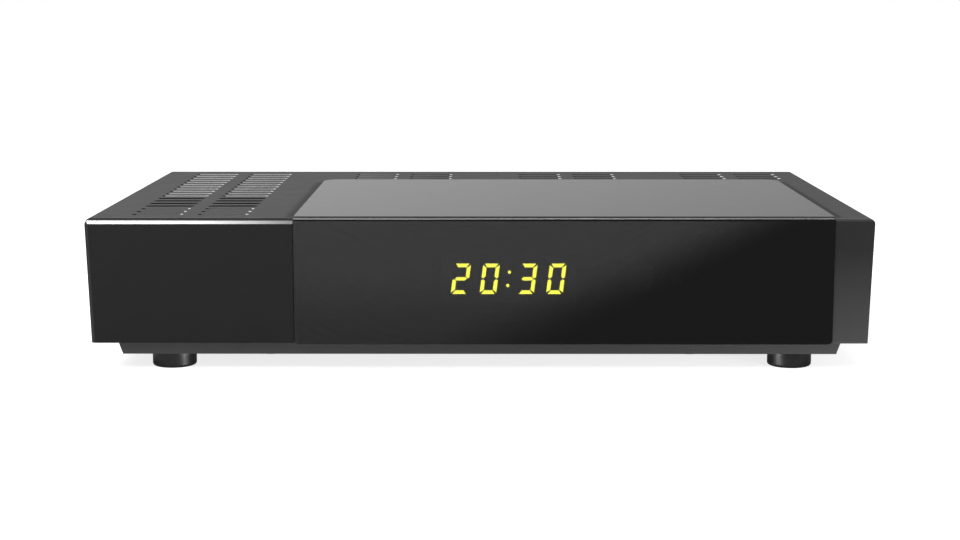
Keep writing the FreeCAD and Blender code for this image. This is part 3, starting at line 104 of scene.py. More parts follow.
class ReceiverSizes(bpy.types.PropertyGroup):
    """Sizes of the clock's digits, the satellite threads and the chips' legs"""

    digit_width: length("Digit width", "Across one upright digit", 4.65)
    digit_height: length("Digit height", "From foot to top of a digit", 8.6)
    segment: length("Segment", "Width of one lit bar", 1.06)
    segment_depth: length("Segment depth", "Height of a bar over the display's face", 0.08)
    digit_pitch: length("Digit pitch", "From one digit of a pair to the next", 8.06)
    pair_pitch: length("Pair pitch", "From the hours' last digit to the minutes' first", 10.54)
    colon_dot: length("Colon dot", "Diameter of a dot between the pairs", 0.9)
    digit_slant: FloatProperty(name="Slant", description="Lean of the digits",
                               subtype="ANGLE", default=math.radians(7.2))
    clock: StringProperty(name="Time", description="The four digits shown", default="2030")
    thread_root: length("Thread root", "Radius at the foot of the satellite thread", 4.33)
    thread_crest: length("Thread crest", "Radius over the satellite thread", 4.75)
    thread_pitch: length("Thread pitch", "From one turn to the next", 0.794)
    connector_bore: length("Connector bore", "Radius of the insulator's seat", 3.3)
    connector_foot: length("Connector foot", "Depth of the square foot at the panel", 1.2)
    chip_pitch: length("Chip pitch", "From one leg of a memory chip to the next", 0.8)


# ---------------------------------------------------------------- materials


class Nodes:
    """Adds and joins the nodes of one tree. `place` is the point that patterns read."""

    def __init__(self, tree, coordinates):
        self.tree = tree
        self.place = self.node("ShaderNodeTexCoord").outputs[coordinates]

    def node(self, kind, inputs=(), **settings):
        """Adds a node. Its inputs are numbers, colours or other nodes' sockets."""
        made = self.tree.nodes.new(kind)
        for setting, value in settings.items():
            setattr(made, setting, value)
        for key, value in dict(inputs).items():
            self.join(value, made.inputs[key])
        return made

    def join(self, value, socket):
        if isinstance(value, bpy.types.NodeSocket):
            self.tree.links.new(value, socket)
        elif socket.type == "RGBA":
            socket.default_value = (*value, 1)
        else:
            socket.default_value = value

    def calc(self, operation, first, second=0, third=0):
        return self.node("ShaderNodeMath", {0: first, 1: second, 2: third},
                         operation=operation).outputs[0]

    def product(self, first, *others):
        for other in others:
            first = self.calc("MULTIPLY", first, other)
        return first

    def axis(self, which, vector=None):
        """One coordinate, X, Y or Z, of a vector or of the place."""
        split = self.node("ShaderNodeSeparateXYZ", {0: vector or self.place})
        return split.outputs[which]

    def normal(self):
        return self.node("ShaderNodeNewGeometry").outputs["Normal"]

    def stretched(self, scale, turn=(0, 0, 0)):
        return self.node("ShaderNodeMapping", {"Vector": self.place, "Scale": scale,
                                               "Rotation": turn}).outputs[0]

    def noise(self, size, detail=2.0, rough=0.5, place=None):
        """Noise whose grain is about `size` millimetres across."""
        return self.node("ShaderNodeTexNoise",
                         {"Vector": place or self.place, "Scale": 1 / (size * MM),
                          "Detail": detail, "Roughness": rough}).outputs["Fac"]

    def range(self, value, low, high, out_low=0.0, out_high=1.0, smooth=False):
        return self.node("ShaderNodeMapRange",
                         {"Value": value, "From Min": low, "From Max": high,
                          "To Min": out_low, "To Max": out_high},
                         interpolation_type="SMOOTHSTEP" if smooth else "LINEAR").outputs[0]

    def mix(self, share, first, second):
        made = self.node("ShaderNodeMix", data_type="RGBA", clamp_factor=True)
        for socket, value in ((made.inputs[0], share), (made.inputs[6], first),
                              (made.inputs[7], second)):
            self.join(value, socket)
        return made.outputs[2]

    def blend(self, share, first, second):
        """A number that goes from first to second as share goes from 0 to 1."""
        made = self.node("ShaderNodeMix", data_type="FLOAT", clamp_factor=True)
        for socket, value in ((made.inputs[0], share), (made.inputs[2], first),
                              (made.inputs[3], second)):
            self.join(value, socket)
        return made.outputs[0]


class Surroundings(Nodes):
    """A world whose patterns read the direction looked in."""

    def __init__(self, name):
        self.world = bpy.data.worlds.new(name)
        self.world.use_nodes = True
        super().__init__(self.world.node_tree, "Generated")
        self.light = self.tree.nodes["Background"]


class Finish(Nodes):
    """One material. Every pattern in it reads Object coordinates."""

    def __init__(self, name, base, roughness=0.5, **constants):
        self.material = bpy.data.materials.new(name)
        self.material.use_nodes = True
        super().__init__(self.material.node_tree, "Object")
        self.shader = self.tree.nodes["Principled BSDF"]
        self.base = tuple(base)
        self.roughness = roughness
        self.bumps = None
        for socket, value in constants.items():
            self.shader.inputs[socket.replace("_", " ")].default_value = value

    def vary(self, amount, size):
        """Makes the colour a little lighter and darker in patches."""
        patches = self.range(self.noise(size, 3.0), 0.3, 0.7, 1 - amount, 1 + amount)
        made = self.node("ShaderNodeMix", data_type="RGBA", blend_type="MULTIPLY")
        self.join(1.0, made.inputs[0])
        self.join(self.base, made.inputs[6])
        self.join(patches, made.inputs[7])
        self.base = made.outputs[2]
        return self

    def rough(self, low, high, size):
        """Roughness that drifts between low and high."""
        self.roughness = self.range(self.noise(size, 3.0), 0.3, 0.7, low, high)
        return self

    def relief(self, height, depth, strength=1.0):
        """Adds a bump `depth` millimetres high."""
        inputs = {"Height": height, "Distance": depth * MM, "Strength": strength}
        if self.bumps is not None:
            inputs["Normal"] = self.bumps
        self.bumps = self.node("ShaderNodeBump", inputs).outputs[0]
        return self

    def worn(self, radius, bare_and_painted_light, share=1.0):
        """Rubs the colour to `bare_and_painted_light` along outer edges, within `radius` millimetres."""
        rounded = self.node("ShaderNodeBevel", {"Radius": radius * MM}, samples=4).outputs[0]
        turned = self.node("ShaderNodeVectorMath", {0: rounded, 1: self.normal()},
                           operation="DOT_PRODUCT").outputs["Value"]
        edge = self.range(turned, 0.985, 0.90)
        patchy = self.range(self.noise(1.7, 4.0, 0.7), 0.45, 0.62, 0.0, share)
        self.base = self.mix(self.product(edge, patchy), self.base, bare_and_painted_light)
        return self

    def scratched(self, size, depth, share=0.5):
        """Fine hairlines in two directions, as cleaning leaves them."""
        for turn, stretch in ((0.5, (1, 0.02, 1)), (-0.9, (1, 0.03, 0.03))):
            place = self.stretched(stretch, (turn, turn / 2, turn))
            lines = self.range(self.noise(size, 2.0, place=place), 0.64, 0.72, 0.0, share)
            self.relief(lines, -depth, 0.4)
        return self

    def done(self):
        self.join(self.base, self.shader.inputs["Base Color"])
        self.join(self.roughness, self.shader.inputs["Roughness"])
        if self.bumps is not None:
            self.join(self.bumps, self.shader.inputs["Normal"])
        return self.material


def wear(nodes, material):
    """Gives the CAD nodes this material in place of their own."""
    for name in nodes:
        data = frame["nodes"][name].data
        data.materials.clear()
        data.materials.append(material)


def powder_coat(name, base, low=0.42, high=0.56, peel=0.55, depth=0.012, shine=0.35):
    """Dark powder coat: orange peel under a finer tooth."""
    finish = Finish(name, base, Specular_IOR_Level=shine).vary(0.05, 18).rough(low, high, 5)
    finish.relief(finish.noise(peel, 2.0), depth).relief(finish.noise(0.12, 1.0), depth / 4)
    return finish


def sheet_metal(name, base, low=0.22, high=0.38):
    """Rolled sheet: fine lines along the rolling, dull patches, light handling marks."""
    finish = Finish(name, base, Metallic=1.0).vary(0.06, 7)
    lines = finish.noise(0.35, 3.0, place=finish.stretched((1, 0.03, 1)))
    patches = finish.range(finish.noise(4, 4.0), 0.3, 0.7, low, high)
    streaks = finish.range(lines, 0.35, 0.65, -0.04, 0.05)
    finish.roughness = finish.calc("ADD", patches, streaks)
    return finish.relief(lines, 0.0015).scratched(0.6, 0.001)


def moulded(name, base, low=0.38, high=0.5, grain=0.16, depth=0.006, shine=0.5):
    """Moulded plastic with a spark-eroded skin."""
    finish = Finish(name, base, Specular_IOR_Level=shine).vary(0.04, 12).rough(low, high, 3)
    finish.relief(finish.noise(grain, 2.0, 0.6), depth)
    return finish


# ---------------------------------------------------------------- mesh tools


def mesh_of(name, bm):
    """A mesh in one fixed order, as the order that operators leave varies from run to run."""
    corners = sorted(bm.verts, key=lambda vert: tuple(vert.co))
    for number, vert in enumerate(corners):
        vert.index = number
    faces = []
    for face in bm.faces:
        ring = [vert.index for vert in face.verts]
        first = ring.index(min(ring)) if len(ring) > 4 else 0  # a quad keeps its diagonal
        faces.append(ring[first:] + ring[:first])
    made = bpy.data.meshes.new(name)
    made.from_pydata([vert.co for vert in corners], [], sorted(faces))
    return made


def piece(name, bm, material, body=ROOT, smooth=None, replaces=()):
    """Makes an object of a bmesh at the origin and rides it on its body."""
    bmesh.ops.remove_doubles(bm, verts=bm.verts, dist=1e-7)
    bmesh.ops.recalc_face_normals(bm, faces=bm.faces)
    data = mesh_of(name, bm)
    bm.free()
    data.materials.append(material)
    made = bpy.data.objects.new(name, data)
    bpy.context.scene.collection.objects.link(made)
    if smooth is not None:
        data.shade_smooth()
        data.set_sharp_from_angle(angle=math.radians(smooth))
    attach(made, body)
    if replaces:
        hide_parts(*replaces)
    return made


def moved_copy(bm, faces, step):
    """Extrudes faces by a step and keeps them, so that the form is closed."""
    grown = bmesh.ops.extrude_face_region(bm, geom=faces, use_keep_orig=True)["geom"]
    moved = [item for item in grown if isinstance(item, bmesh.types.BMVert)]
    bmesh.ops.translate(bm, verts=moved, vec=step)
    return moved


def outline_face(bm, corners):
    """Joins corners into a closed line and fills it."""
    edges = [bm.edges.new(pair) for pair in zip(corners, corners[1:] + corners[:1])]
    return bmesh.ops.edgeloop_fill(bm, edges=edges)["faces"][0]


def plate(bm, points, place, across, up, step):
    """A closed outline of (across, up) points at `place`, made solid by one step."""
    corners = [bm.verts.new(place + x * across + z * up) for x, z in points]
    return corners + moved_copy(bm, [outline_face(bm, corners)], step)


def lathe(bm, profile, centre, axis, steps=48):
    """Turns a line of (radius, height) points right round an axis through `centre`."""
    verts = [bm.verts.new(centre + radius * RIGHT + height * axis) for radius, height in profile]
    edges = [bm.edges.new(pair) for pair in zip(verts, verts[1:])]
    bmesh.ops.spin(bm, geom=verts + edges, cent=centre, axis=axis, dvec=(0, 0, 0),
                   angle=math.tau, steps=steps, use_merge=True)


def wound(bm, section, axis, start, angle, steps, climb=0.0):
    """Carries a closed (radius, depth) section about a line along Y, with a climb in all."""
    out = Matrix.Rotation(start, 3, "Y") @ RIGHT
    verts = [bm.verts.new(axis + radius * out + depth * REAR) for radius, depth in section]
    face = outline_face(bm, verts)
    bmesh.ops.spin(bm, geom=verts + list(face.edges) + [face], cent=axis, axis=REAR,
                   dvec=climb / steps * REAR, angle=angle, steps=steps)


def axis_of(low, high):
    """The line along Y through the middle of a box."""
    return Vector(((low.x + high.x) / 2, 0, (low.z + high.z) / 2))


def added(bm, other, matrix=None):
    """Adds another bmesh, turned by a matrix, and frees it."""
    if matrix is not None:
        bmesh.ops.transform(other, matrix=matrix, verts=other.verts)
    shape = bpy.data.meshes.new("part")
    other.to_mesh(shape)
    other.free()
    bm.from_mesh(shape)
    bpy.data.meshes.remove(shape)


def islands(name):
    """The box of each separate solid of a CAD node."""
    bm = bmesh.new()
    bm.from_mesh(frame["nodes"][name].data)
    bmesh.ops.remove_doubles(bm, verts=bm.verts, dist=1e-6)
    left, boxes = set(bm.verts), []
    while left:
        reached, edge = set(), {left.pop()}
        while edge:
            reached |= edge
            edge = {e.other_vert(v) for v in edge for e in v.link_edges} - reached
        left -= reached
        places = [vert.co for vert in reached]
        boxes.append((Vector(map(min, *places)), Vector(map(max, *places))))
    bm.free()
    return sorted(boxes, key=lambda box: tuple(box[0]))


# ---------------------------------------------------------------- case finishes


class RECEIVER_OT_cover(bpy.types.Operator):
    """Powder coat on the cover, with painted shade beside the tongue and painted light and shade
    on the walls of its slots
    """

    bl_idname = "receiver.cover"
    bl_label = "Cover finish"

    def execute(self, context):
        colours = context.scene.receiver_finishes
        finish = powder_coat("powder_coat_cover", colours.cover, 0.47, 0.51, 0.9, 0.004, 0.12)
        self.shade_beside_tongue(finish)
        self.paint_light_and_shade_on_slots(finish)
        wear(["top_cover"], finish.done())
        return {"FINISHED"}

    def shade_beside_tongue(self, finish):
        """Painted shadow: a dark line on the cover along the tongue's sides."""
        low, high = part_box("gloss_front_panel")
        x = finish.axis(X)
        left = finish.range(x, low.x - 3.9 * MM, low.x - 1.4 * MM, smooth=True)
        right = finish.range(x, high.x + 3.6 * MM, high.x + 2.0 * MM, smooth=True)
        side = finish.blend(finish.calc("GREATER_THAN", x, 0), left, right)
        end = finish.range(finish.axis(Y), high.y + 1 * MM, high.y - 4 * MM, smooth=True)
        finish.base = finish.mix(finish.product(side, end), finish.base, grey(0.001))

    def paint_light_and_shade_on_slots(self, finish):
        """Painted light and shade on the slot walls: lit in the rear rows and brighter on the
        left, black in the middle rows, grey in the front ones; walls that face right black, walls
        that face left near white.
        """
        low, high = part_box("top_cover")
        rear_rows, front_rows = -16 * MM, -43 * MM  # where these rows begin
        x, y, z = (finish.axis(which) for which in (X, Y, Z))
        facing = finish.normal()
        facing_x, facing_y, facing_z = (finish.axis(which, facing) for which in (X, Y, Z))
        slot = finish.product(
            finish.calc("LESS_THAN", finish.calc("ABSOLUTE", facing_z), 0.6),
            finish.calc("LESS_THAN", facing_y, 0.35),
            finish.calc("GREATER_THAN", z, high.z - 0.85 * MM),
            finish.calc("LESS_THAN", finish.calc("ABSOLUTE", x), high.x - 5 * MM),
            finish.calc("GREATER_THAN", y, low.y + 5 * MM),
            finish.calc("LESS_THAN", y, high.y - 8 * MM))
        patches = finish.range(finish.noise(0.8), 0.3, 0.7, 0.92, 1.05)
        # painted light: the walls are lighter on the left, where the light comes from
        bare_and_painted_light = finish.product(finish.range(x, -84 * MM, -14 * MM, 0.6, 0.09), patches)
        far = finish.range(y, rear_rows - MM, rear_rows + MM)
        near = finish.range(y, front_rows + MM, front_rows - MM)
        # painted shade: the middle rows' walls are black, the front rows' grey
        painted_wall_light = finish.blend(near, finish.product(far, bare_and_painted_light), 0.17)
        # painted shade: walls that face right are black
        painted_wall_light = finish.blend(finish.range(facing_x, 0.3, 0.5), painted_wall_light, 0.0)
        outer_rows = finish.calc("MAXIMUM", far, near)
        # painted highlight: walls that face left, in the rear and front rows, are near white
        painted_highlight_right_end = finish.product(finish.range(facing_x, -0.2, -0.35), outer_rows)
        painted_wall_light = finish.blend(painted_highlight_right_end, painted_wall_light, 0.95)
        finish.base = finish.mix(slot, finish.base, painted_wall_light)


class RECEIVER_OT_case(bpy.types.Operator):
    """Finishes of the tray, rear panel, fascia, left panel and feet"""

    bl_idname = "receiver.case"
    bl_label = "Case finishes"

    def execute(self, context):
        colours = context.scene.receiver_finishes
        tray = powder_coat("powder_coat_tray", colours.tray, 0.4, 0.5)
        wear(["chassis_tray"], tray.worn(0.4, grey(0.3), 0.3).done())
        panel = powder_coat("powder_coat_panel", colours.panel, 0.36, 0.46)
        wear(["rear_panel"], panel.worn(0.3, grey(0.3), 0.35).done())
        self.fascia(colours)
        rubber = moulded("foot_rubber", colours.rubber, 0.27, 0.36, 0.3, 0.006)
        wear(FEET, rubber.done())
        self.left_panel(colours)
        return {"FINISHED"}

    def fascia(self, colours):
        """Spark-eroded frame with painted light and shade: palest along its foot, darkest at the
        top of its right end.
        """
        finish = moulded("spark_eroded_fascia", colours.fascia, shine=0.3)
        # painted light and shade: the colour at the foot, halfway up and at the top
        foot, middle, top = ([c * share for c in colours.fascia] for share in (1.0, 0.7, 0.22))
        height = finish.axis(Z)
        painted_shade_above = finish.mix(finish.range(height, 9 * MM, 35 * MM), middle, top)
        finish.base = finish.mix(finish.range(height, 8.3 * MM, 8.9 * MM), foot, painted_shade_above)
        wear(["front_fascia"], finish.done())

    def left_panel(self, colours):
        """Satin face with a bright metal cut edge along its top; its painted highlight fades from
        left to right.
        """
        finish = moulded("satin_decor", colours.decor, 0.3, 0.36, 0.12, 0.002, 0.25)
        low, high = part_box("left_decor_panel")
        tilt = finish.axis(Z, finish.normal())
        cut = finish.product(finish.range(tilt, 0.35, 0.5), finish.range(tilt, 0.95, 0.85),
                             finish.range(finish.axis(Z), high.z - 0.2 * MM, high.z - 0.36 * MM))
        # painted highlight: the cut edge is lighter on the left and fades towards the right
        along = finish.range(finish.axis(X), low.x + 0.35 * (high.x - low.x), high.x)
        finish.base = finish.mix(cut, finish.base, finish.mix(along, grey(0.55), grey(0.12)))
        finish.join(cut, finish.shader.inputs["Metallic"])
        wear(["left_decor_panel"], finish.done())


class RECEIVER_OT_window(bpy.types.Operator):
    """Smoked gloss of the window and its tongue over the top"""

    bl_idname = "receiver.window"
    bl_label = "Window finish"

    def execute(self, context):
        colours = context.scene.receiver_finishes
        finish = Finish("smoked_window", colours.window, 0.02, IOR=1.49, Transmission_Weight=1.0)
        top = finish.range(finish.axis(Z, finish.normal()), 0.8, 0.95)
        satin = finish.range(finish.noise(6.0), 0.3, 0.7, 0.10, 0.13)
        gloss = finish.range(finish.noise(9.0), 0.3, 0.7, 0.012, 0.025)
        finish.roughness = finish.blend(top, gloss, satin)
        finish.vary(0.05, 30)
        wear(["gloss_front_panel"], finish.done())
        return {"FINISHED"}


# ---------------------------------------------------------------- clock


SEGMENTS = {"0": "abcdef", "1": "bc", "2": "abdeg", "3": "abcdg", "4": "bcfg", "5": "acdfg",
            "6": "acdefg", "7": "abc", "8": "abcdefg", "9": "abcdfg"}
DOT_HEIGHTS = (0.72, 0.28)  # of the colon, as shares of a digit's height


def flipped(points, height):
    """An outline turned over from foot to top."""
    return [(x, height - z) for x, z in points]


def mirrored(points, width):
    """An outline turned over from left to right."""
    return [(width - x, z) for x, z in points]


class RECEIVER_OT_clock(bpy.types.Operator):
    """The four seven-segment digits and the colon on the display's face"""

    bl_idname = "receiver.clock"
    bl_label = "Clock digits"

    def execute(self, context):
        sizes = context.scene.receiver_sizes
        colours = context.scene.receiver_finishes
        low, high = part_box("led_display_module")
        step, pair = sizes.digit_pitch, sizes.pair_pitch
        lean = sizes.digit_height * math.tan(sizes.digit_slant)
        wide = 2 * step + pair + sizes.digit_width + lean
        start = (low.x + high.x) / 2 - wide / 2
        lefts = [start, start + step, start + step + pair, start + 2 * step + pair]
        foot = (low.z + high.z) / 2 - sizes.digit_height / 2
        out = -sizes.segment_depth * REAR
        lit, unlit = bmesh.new(), bmesh.new()
        for left, figure in zip(lefts, sizes.clock):
            place = Vector((left, low.y, foot))
            for letter, outline in self.bars(sizes).items():
                bm = lit if letter in SEGMENTS[figure] else unlit
                for vert in plate(bm, outline, place, RIGHT, UP, out):
                    vert.co.x += (vert.co.z - foot) * math.tan(sizes.digit_slant)
        middle = (lefts[1] + sizes.digit_width + lefts[2]) / 2
        for share in DOT_HEIGHTS:
            self.dot(lit, Vector((middle + share * lean, low.y, foot)), share, sizes, out)
        piece("clock_digits", lit, self.glow(colours.digits))
        dark = moulded("unlit_segment", grey(0.05), 0.3, 0.4).done()
        piece("clock_unlit_segments", unlit, dark)
        black = moulded("display_face", grey(0.006), 0.22, 0.3, 0.2, 0.003).done()
        wear(["led_display_module"], black)
        return {"FINISHED"}

    def bars(self, sizes):
        """The outline of each bar of one digit, from the digit's lower left corner."""
        w, h, t = sizes.digit_width, sizes.digit_height, sizes.segment
        gap, clip, mid = 0.13 * MM, 0.3 * MM, sizes.digit_height / 2
        top = [(clip + gap, h), (w - clip - gap, h), (w - t - gap, h - t), (t + gap, h - t)]
        left = [(0, h - clip - gap), (t, h - t - gap), (t, mid + t / 2 + gap),
                (t / 2, mid + gap), (0, mid + gap + t / 4)]
        half = 0.45 * t
        bar = [(t / 2 + gap, mid), (t + gap, mid + half), (w - t - gap, mid + half),
               (w - t / 2 - gap, mid), (w - t - gap, mid - half), (t + gap, mid - half)]
        return {"a": top, "d": flipped(top, h), "f": left, "b": mirrored(left, w),
                "e": flipped(left, h), "c": mirrored(flipped(left, h), w), "g": bar}

    def dot(self, bm, foot, share, sizes, out):
        """A round dot at a share of the digits' height."""
        centre = foot + share * sizes.digit_height * UP
        turn = Matrix.Translation(centre) @ Matrix.Rotation(math.pi / 2, 4, "X")
        made = bmesh.ops.create_circle(bm, cap_ends=True, segments=24,
                                       radius=sizes.colon_dot / 2, matrix=turn)["verts"]
        moved_copy(bm, [made[0].link_faces[0]], out)

    def glow(self, light, strength=54.0):
        """Light that is a little uneven over each bar, seen through the smoked window."""
        finish = Finish("lit_segment", grey(0.3), 0.4)
        even = finish.range(finish.noise(0.9), 0.3, 0.7, 0.92 * strength, strength)
        finish.join(light, finish.shader.inputs["Emission Color"])
        finish.join(even, finish.shader.inputs["Emission Strength"])
        finish.relief(finish.noise(0.3), 0.01)
        return finish.done()


# ---------------------------------------------------------------- inside and rear finishes


def solder_mask(name, base):
    """Green lacquer over bundles of copper tracks that run in two directions."""
    finish = Finish(name, base, 0.25, Coat_Weight=0.4)
    areas = finish.node("ShaderNodeTexVoronoi", {"Vector": finish.place, "Scale": 1 / (11 * MM),
                                                 "Randomness": 0.8}, distance="CHEBYCHEV")
    pick, shown = (finish.axis(which, areas.outputs["Color"]) for which in (X, Y))
    along = finish.blend(finish.calc("GREATER_THAN", pick, 0.5), finish.axis(X), finish.axis(Y))
    wave = finish.calc("SINE", finish.product(along, math.tau / (1.1 * MM)))
    tracks = finish.product(finish.range(wave, 0.2, 0.5), finish.calc("GREATER_THAN", shown, 0.35))
    finish.base = finish.mix(tracks, finish.base, [c * 1.7 for c in base])
    return finish.rough(0.2, 0.34, 6).relief(tracks, 0.03)


def ribbed(name, base, pitch):
    """Flat cable: a round ridge over each conductor."""
    finish = moulded(name, base, 0.35, 0.45)
    phase = finish.product(finish.axis(X), math.tau / (pitch * MM))
    return finish.relief(finish.range(finish.calc("SINE", phase), -1, 1), 0.12)


HARDWARE = {
    "screw_steel": (sheet_metal, "zinc_plate", grey(0.56), 0.25, 0.4),
    "connector_metal": (sheet_metal, "nickel_plate", (0.72, 0.70, 0.66), 0.12, 0.24),
    "shell_steel": (sheet_metal, "tin_plate", grey(0.62), 0.2, 0.34),
    "can_tin": (sheet_metal, "tinned_can", grey(0.66), 0.22, 0.4),
    "sink_aluminium": (sheet_metal, "extruded_aluminium", (0.7, 0.7, 0.72)),
    "crystal_metal": (sheet_metal, "drawn_can", grey(0.7), 0.16, 0.28),
    "contact_metal": (sheet_metal, "plated_brass", (0.66, 0.5, 0.24), 0.18, 0.3),
    "insulator": (moulded, "white_insulator", grey(0.72), 0.3, 0.4),
    "socket_black": (moulded, "socket_plastic", grey(0.02), 0.34, 0.46),
    "chip_black": (moulded, "chip_package", grey(0.018), 0.4, 0.52, 0.1, 0.004),
    "can_sleeve": (moulded, "shrink_sleeve", (0.03, 0.04, 0.09), 0.22, 0.3),
    "header_white": (moulded, "white_header", (0.74, 0.72, 0.66), 0.34, 0.44),
    "ribbon_grey": (ribbed, "ribbon", (0.42, 0.43, 0.46), 1.27),
    "display_black": (moulded, "black_package", grey(0.012), 0.25, 0.35),
    "led_lens": (moulded, "red_lens", (0.6, 0.03, 0.02), 0.1, 0.2),
    "audio_core": (moulded, "orange_insulator", (0.62, 0.19, 0.02), 0.25, 0.35),
    "lead_sleeve": (moulded, "red_sleeve", (0.3, 0.02, 0.02), 0.35, 0.5),
    "rocker_black": (moulded, "rocker_gloss", grey(0.015), 0.12, 0.2),
}


def hardware(slot):
    """The material of a slot, made on first use."""
    maker, name, *settings = HARDWARE[slot]
    return bpy.data.materials.get(name) or maker(name, *settings).done()


class RECEIVER_OT_hardware(bpy.types.Operator):
    """Finishes of the sockets, screws, boards and everything on them"""

    bl_idname = "receiver.hardware"
    bl_label = "Hardware finishes"

    def execute(self, context):
        board = solder_mask("solder_mask", context.scene.receiver_finishes.board).done()
        for part in frame["record"]["subparts"]:
            if part["material_slot"] == "board_green":
                wear([part["node"]], board)
            elif part["material_slot"] in HARDWARE and part["node"] != "led_display_module":
                wear([part["node"]], hardware(part["material_slot"]))
        return {"FINISHED"}


# ---------------------------------------------------------------- rear details


class RECEIVER_OT_threads(bpy.types.Operator):
    """The two threaded satellite connectors and their chamfered nuts"""

    bl_idname = "receiver.threads"
    bl_label = "Satellite connectors"

    NUT_GAP = 0.1 * MM   # from the nut to the thread
    RUN_OUT = 0.45 * MM  # from the thread to the mouth
    BORE_DEPTH = 6 * MM
    STEPS_A_TURN = 30
    CONE_FACETS = 24     # planes that cut the nut's corners at each face

    def execute(self, context):
        sizes = context.scene.receiver_sizes
        metal = hardware("connector_metal")
        nuts = bmesh.new()
        nut_low, nut_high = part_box("connector_nuts")
        for side in ("in", "out"):
            node = f"satellite_{side}_connector"
            low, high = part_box(node)
            axis = axis_of(low, high)
            bm = bmesh.new()
            self.foot(bm, low, high, sizes.connector_foot)
            self.core(bm, sizes, axis, low.y + sizes.connector_foot, high.y)
            self.thread(bm, sizes, axis, nut_high.y + self.NUT_GAP, high.y - self.RUN_OUT)
            piece(f"satellite_{side}_thread", bm, metal, smooth=35,
                  replaces=[node])
            added(nuts, self.nut(sizes, axis, nut_low.y, nut_high.y, high.x - low.x))
        piece("chamfered_nuts", nuts, metal, replaces=["connector_nuts"])
        return {"FINISHED"}

    def foot(self, bm, low, high, depth):
        """Square foot of the connector with its edges eased."""
        made = bmesh.ops.create_cube(bm, size=1)["verts"]
        bmesh.ops.scale(bm, verts=made, vec=(high.x - low.x, depth, high.z - low.z))
        bmesh.ops.translate(bm, verts=made, vec=axis_of(low, high) + (low.y + depth / 2) * REAR)
        bmesh.ops.bevel(bm, geom=list(bm.edges), offset=0.25 * MM, segments=2, profile=0.5,
                        affect="EDGES", material=-1)

    def core(self, bm, sizes, axis, start, end):
        """Plain core under the thread, with its bore and a chamfered mouth."""
        root, bore, floor = sizes.thread_root, sizes.connector_bore, end - self.BORE_DEPTH
        outer, inner = 0.35 * MM, 0.12 * MM  # chamfers of the mouth
        lathe(bm, [(0, start), (root, start), (root, end - outer), (root - outer, end),
                   (bore + inner, end), (bore, end - inner), (bore, floor), (0, floor)],
              axis, REAR)

    def thread(self, bm, sizes, axis, start, end):
        """One ridge wound along the core."""
        pitch, root, crest = sizes.thread_pitch, sizes.thread_root, sizes.thread_crest
        sunk, wide = root - 0.1 * MM, 0.75 * pitch
        turns = (end - start - wide) / pitch
        section = [(sunk, start), (root, start), (crest, start + 0.31 * pitch),
                   (crest, start + 0.44 * pitch), (root, start + wide), (sunk, start + wide)]
        wound(bm, section, axis, 0, turns * math.tau, round(turns * self.STEPS_A_TURN),
              turns * pitch)

    def nut(self, sizes, axis, start, end, flats):
        """A hexagon with a round hole, its corners cut back in a cone at both faces."""
        bm = bmesh.new()
        turn = Matrix.Translation(axis + start * REAR) @ Matrix.Rotation(math.pi / 2, 4, "X")
        corners, hole = flats / math.sqrt(3), sizes.thread_root + 0.06 * MM
        bmesh.ops.create_circle(bm, segments=6, radius=corners, matrix=turn)
        bmesh.ops.subdivide_edges(bm, edges=list(bm.edges), cuts=7, use_grid_fill=False)
        bmesh.ops.create_circle(bm, segments=48, radius=hole, matrix=turn)
        ring = bmesh.ops.bridge_loops(bm, edges=list(bm.edges))["faces"]
        moved_copy(bm, ring, (end - start) * REAR)
        for number in range(self.CONE_FACETS):
            out = Matrix.Rotation(number * math.tau / self.CONE_FACETS, 3, "Y") @ UP
            for face, facing in ((start, -REAR), (end, REAR)):
                everything = list(bm.verts) + list(bm.edges) + list(bm.faces)
                bmesh.ops.bisect_plane(bm, geom=everything, clear_outer=True,
                                       plane_co=axis + face * REAR + 0.49 * flats * out,
                                       plane_no=0.5 * out + 0.87 * facing)
                bmesh.ops.holes_fill(bm, edges=[edge for edge in bm.edges if edge.is_boundary])
        return bm


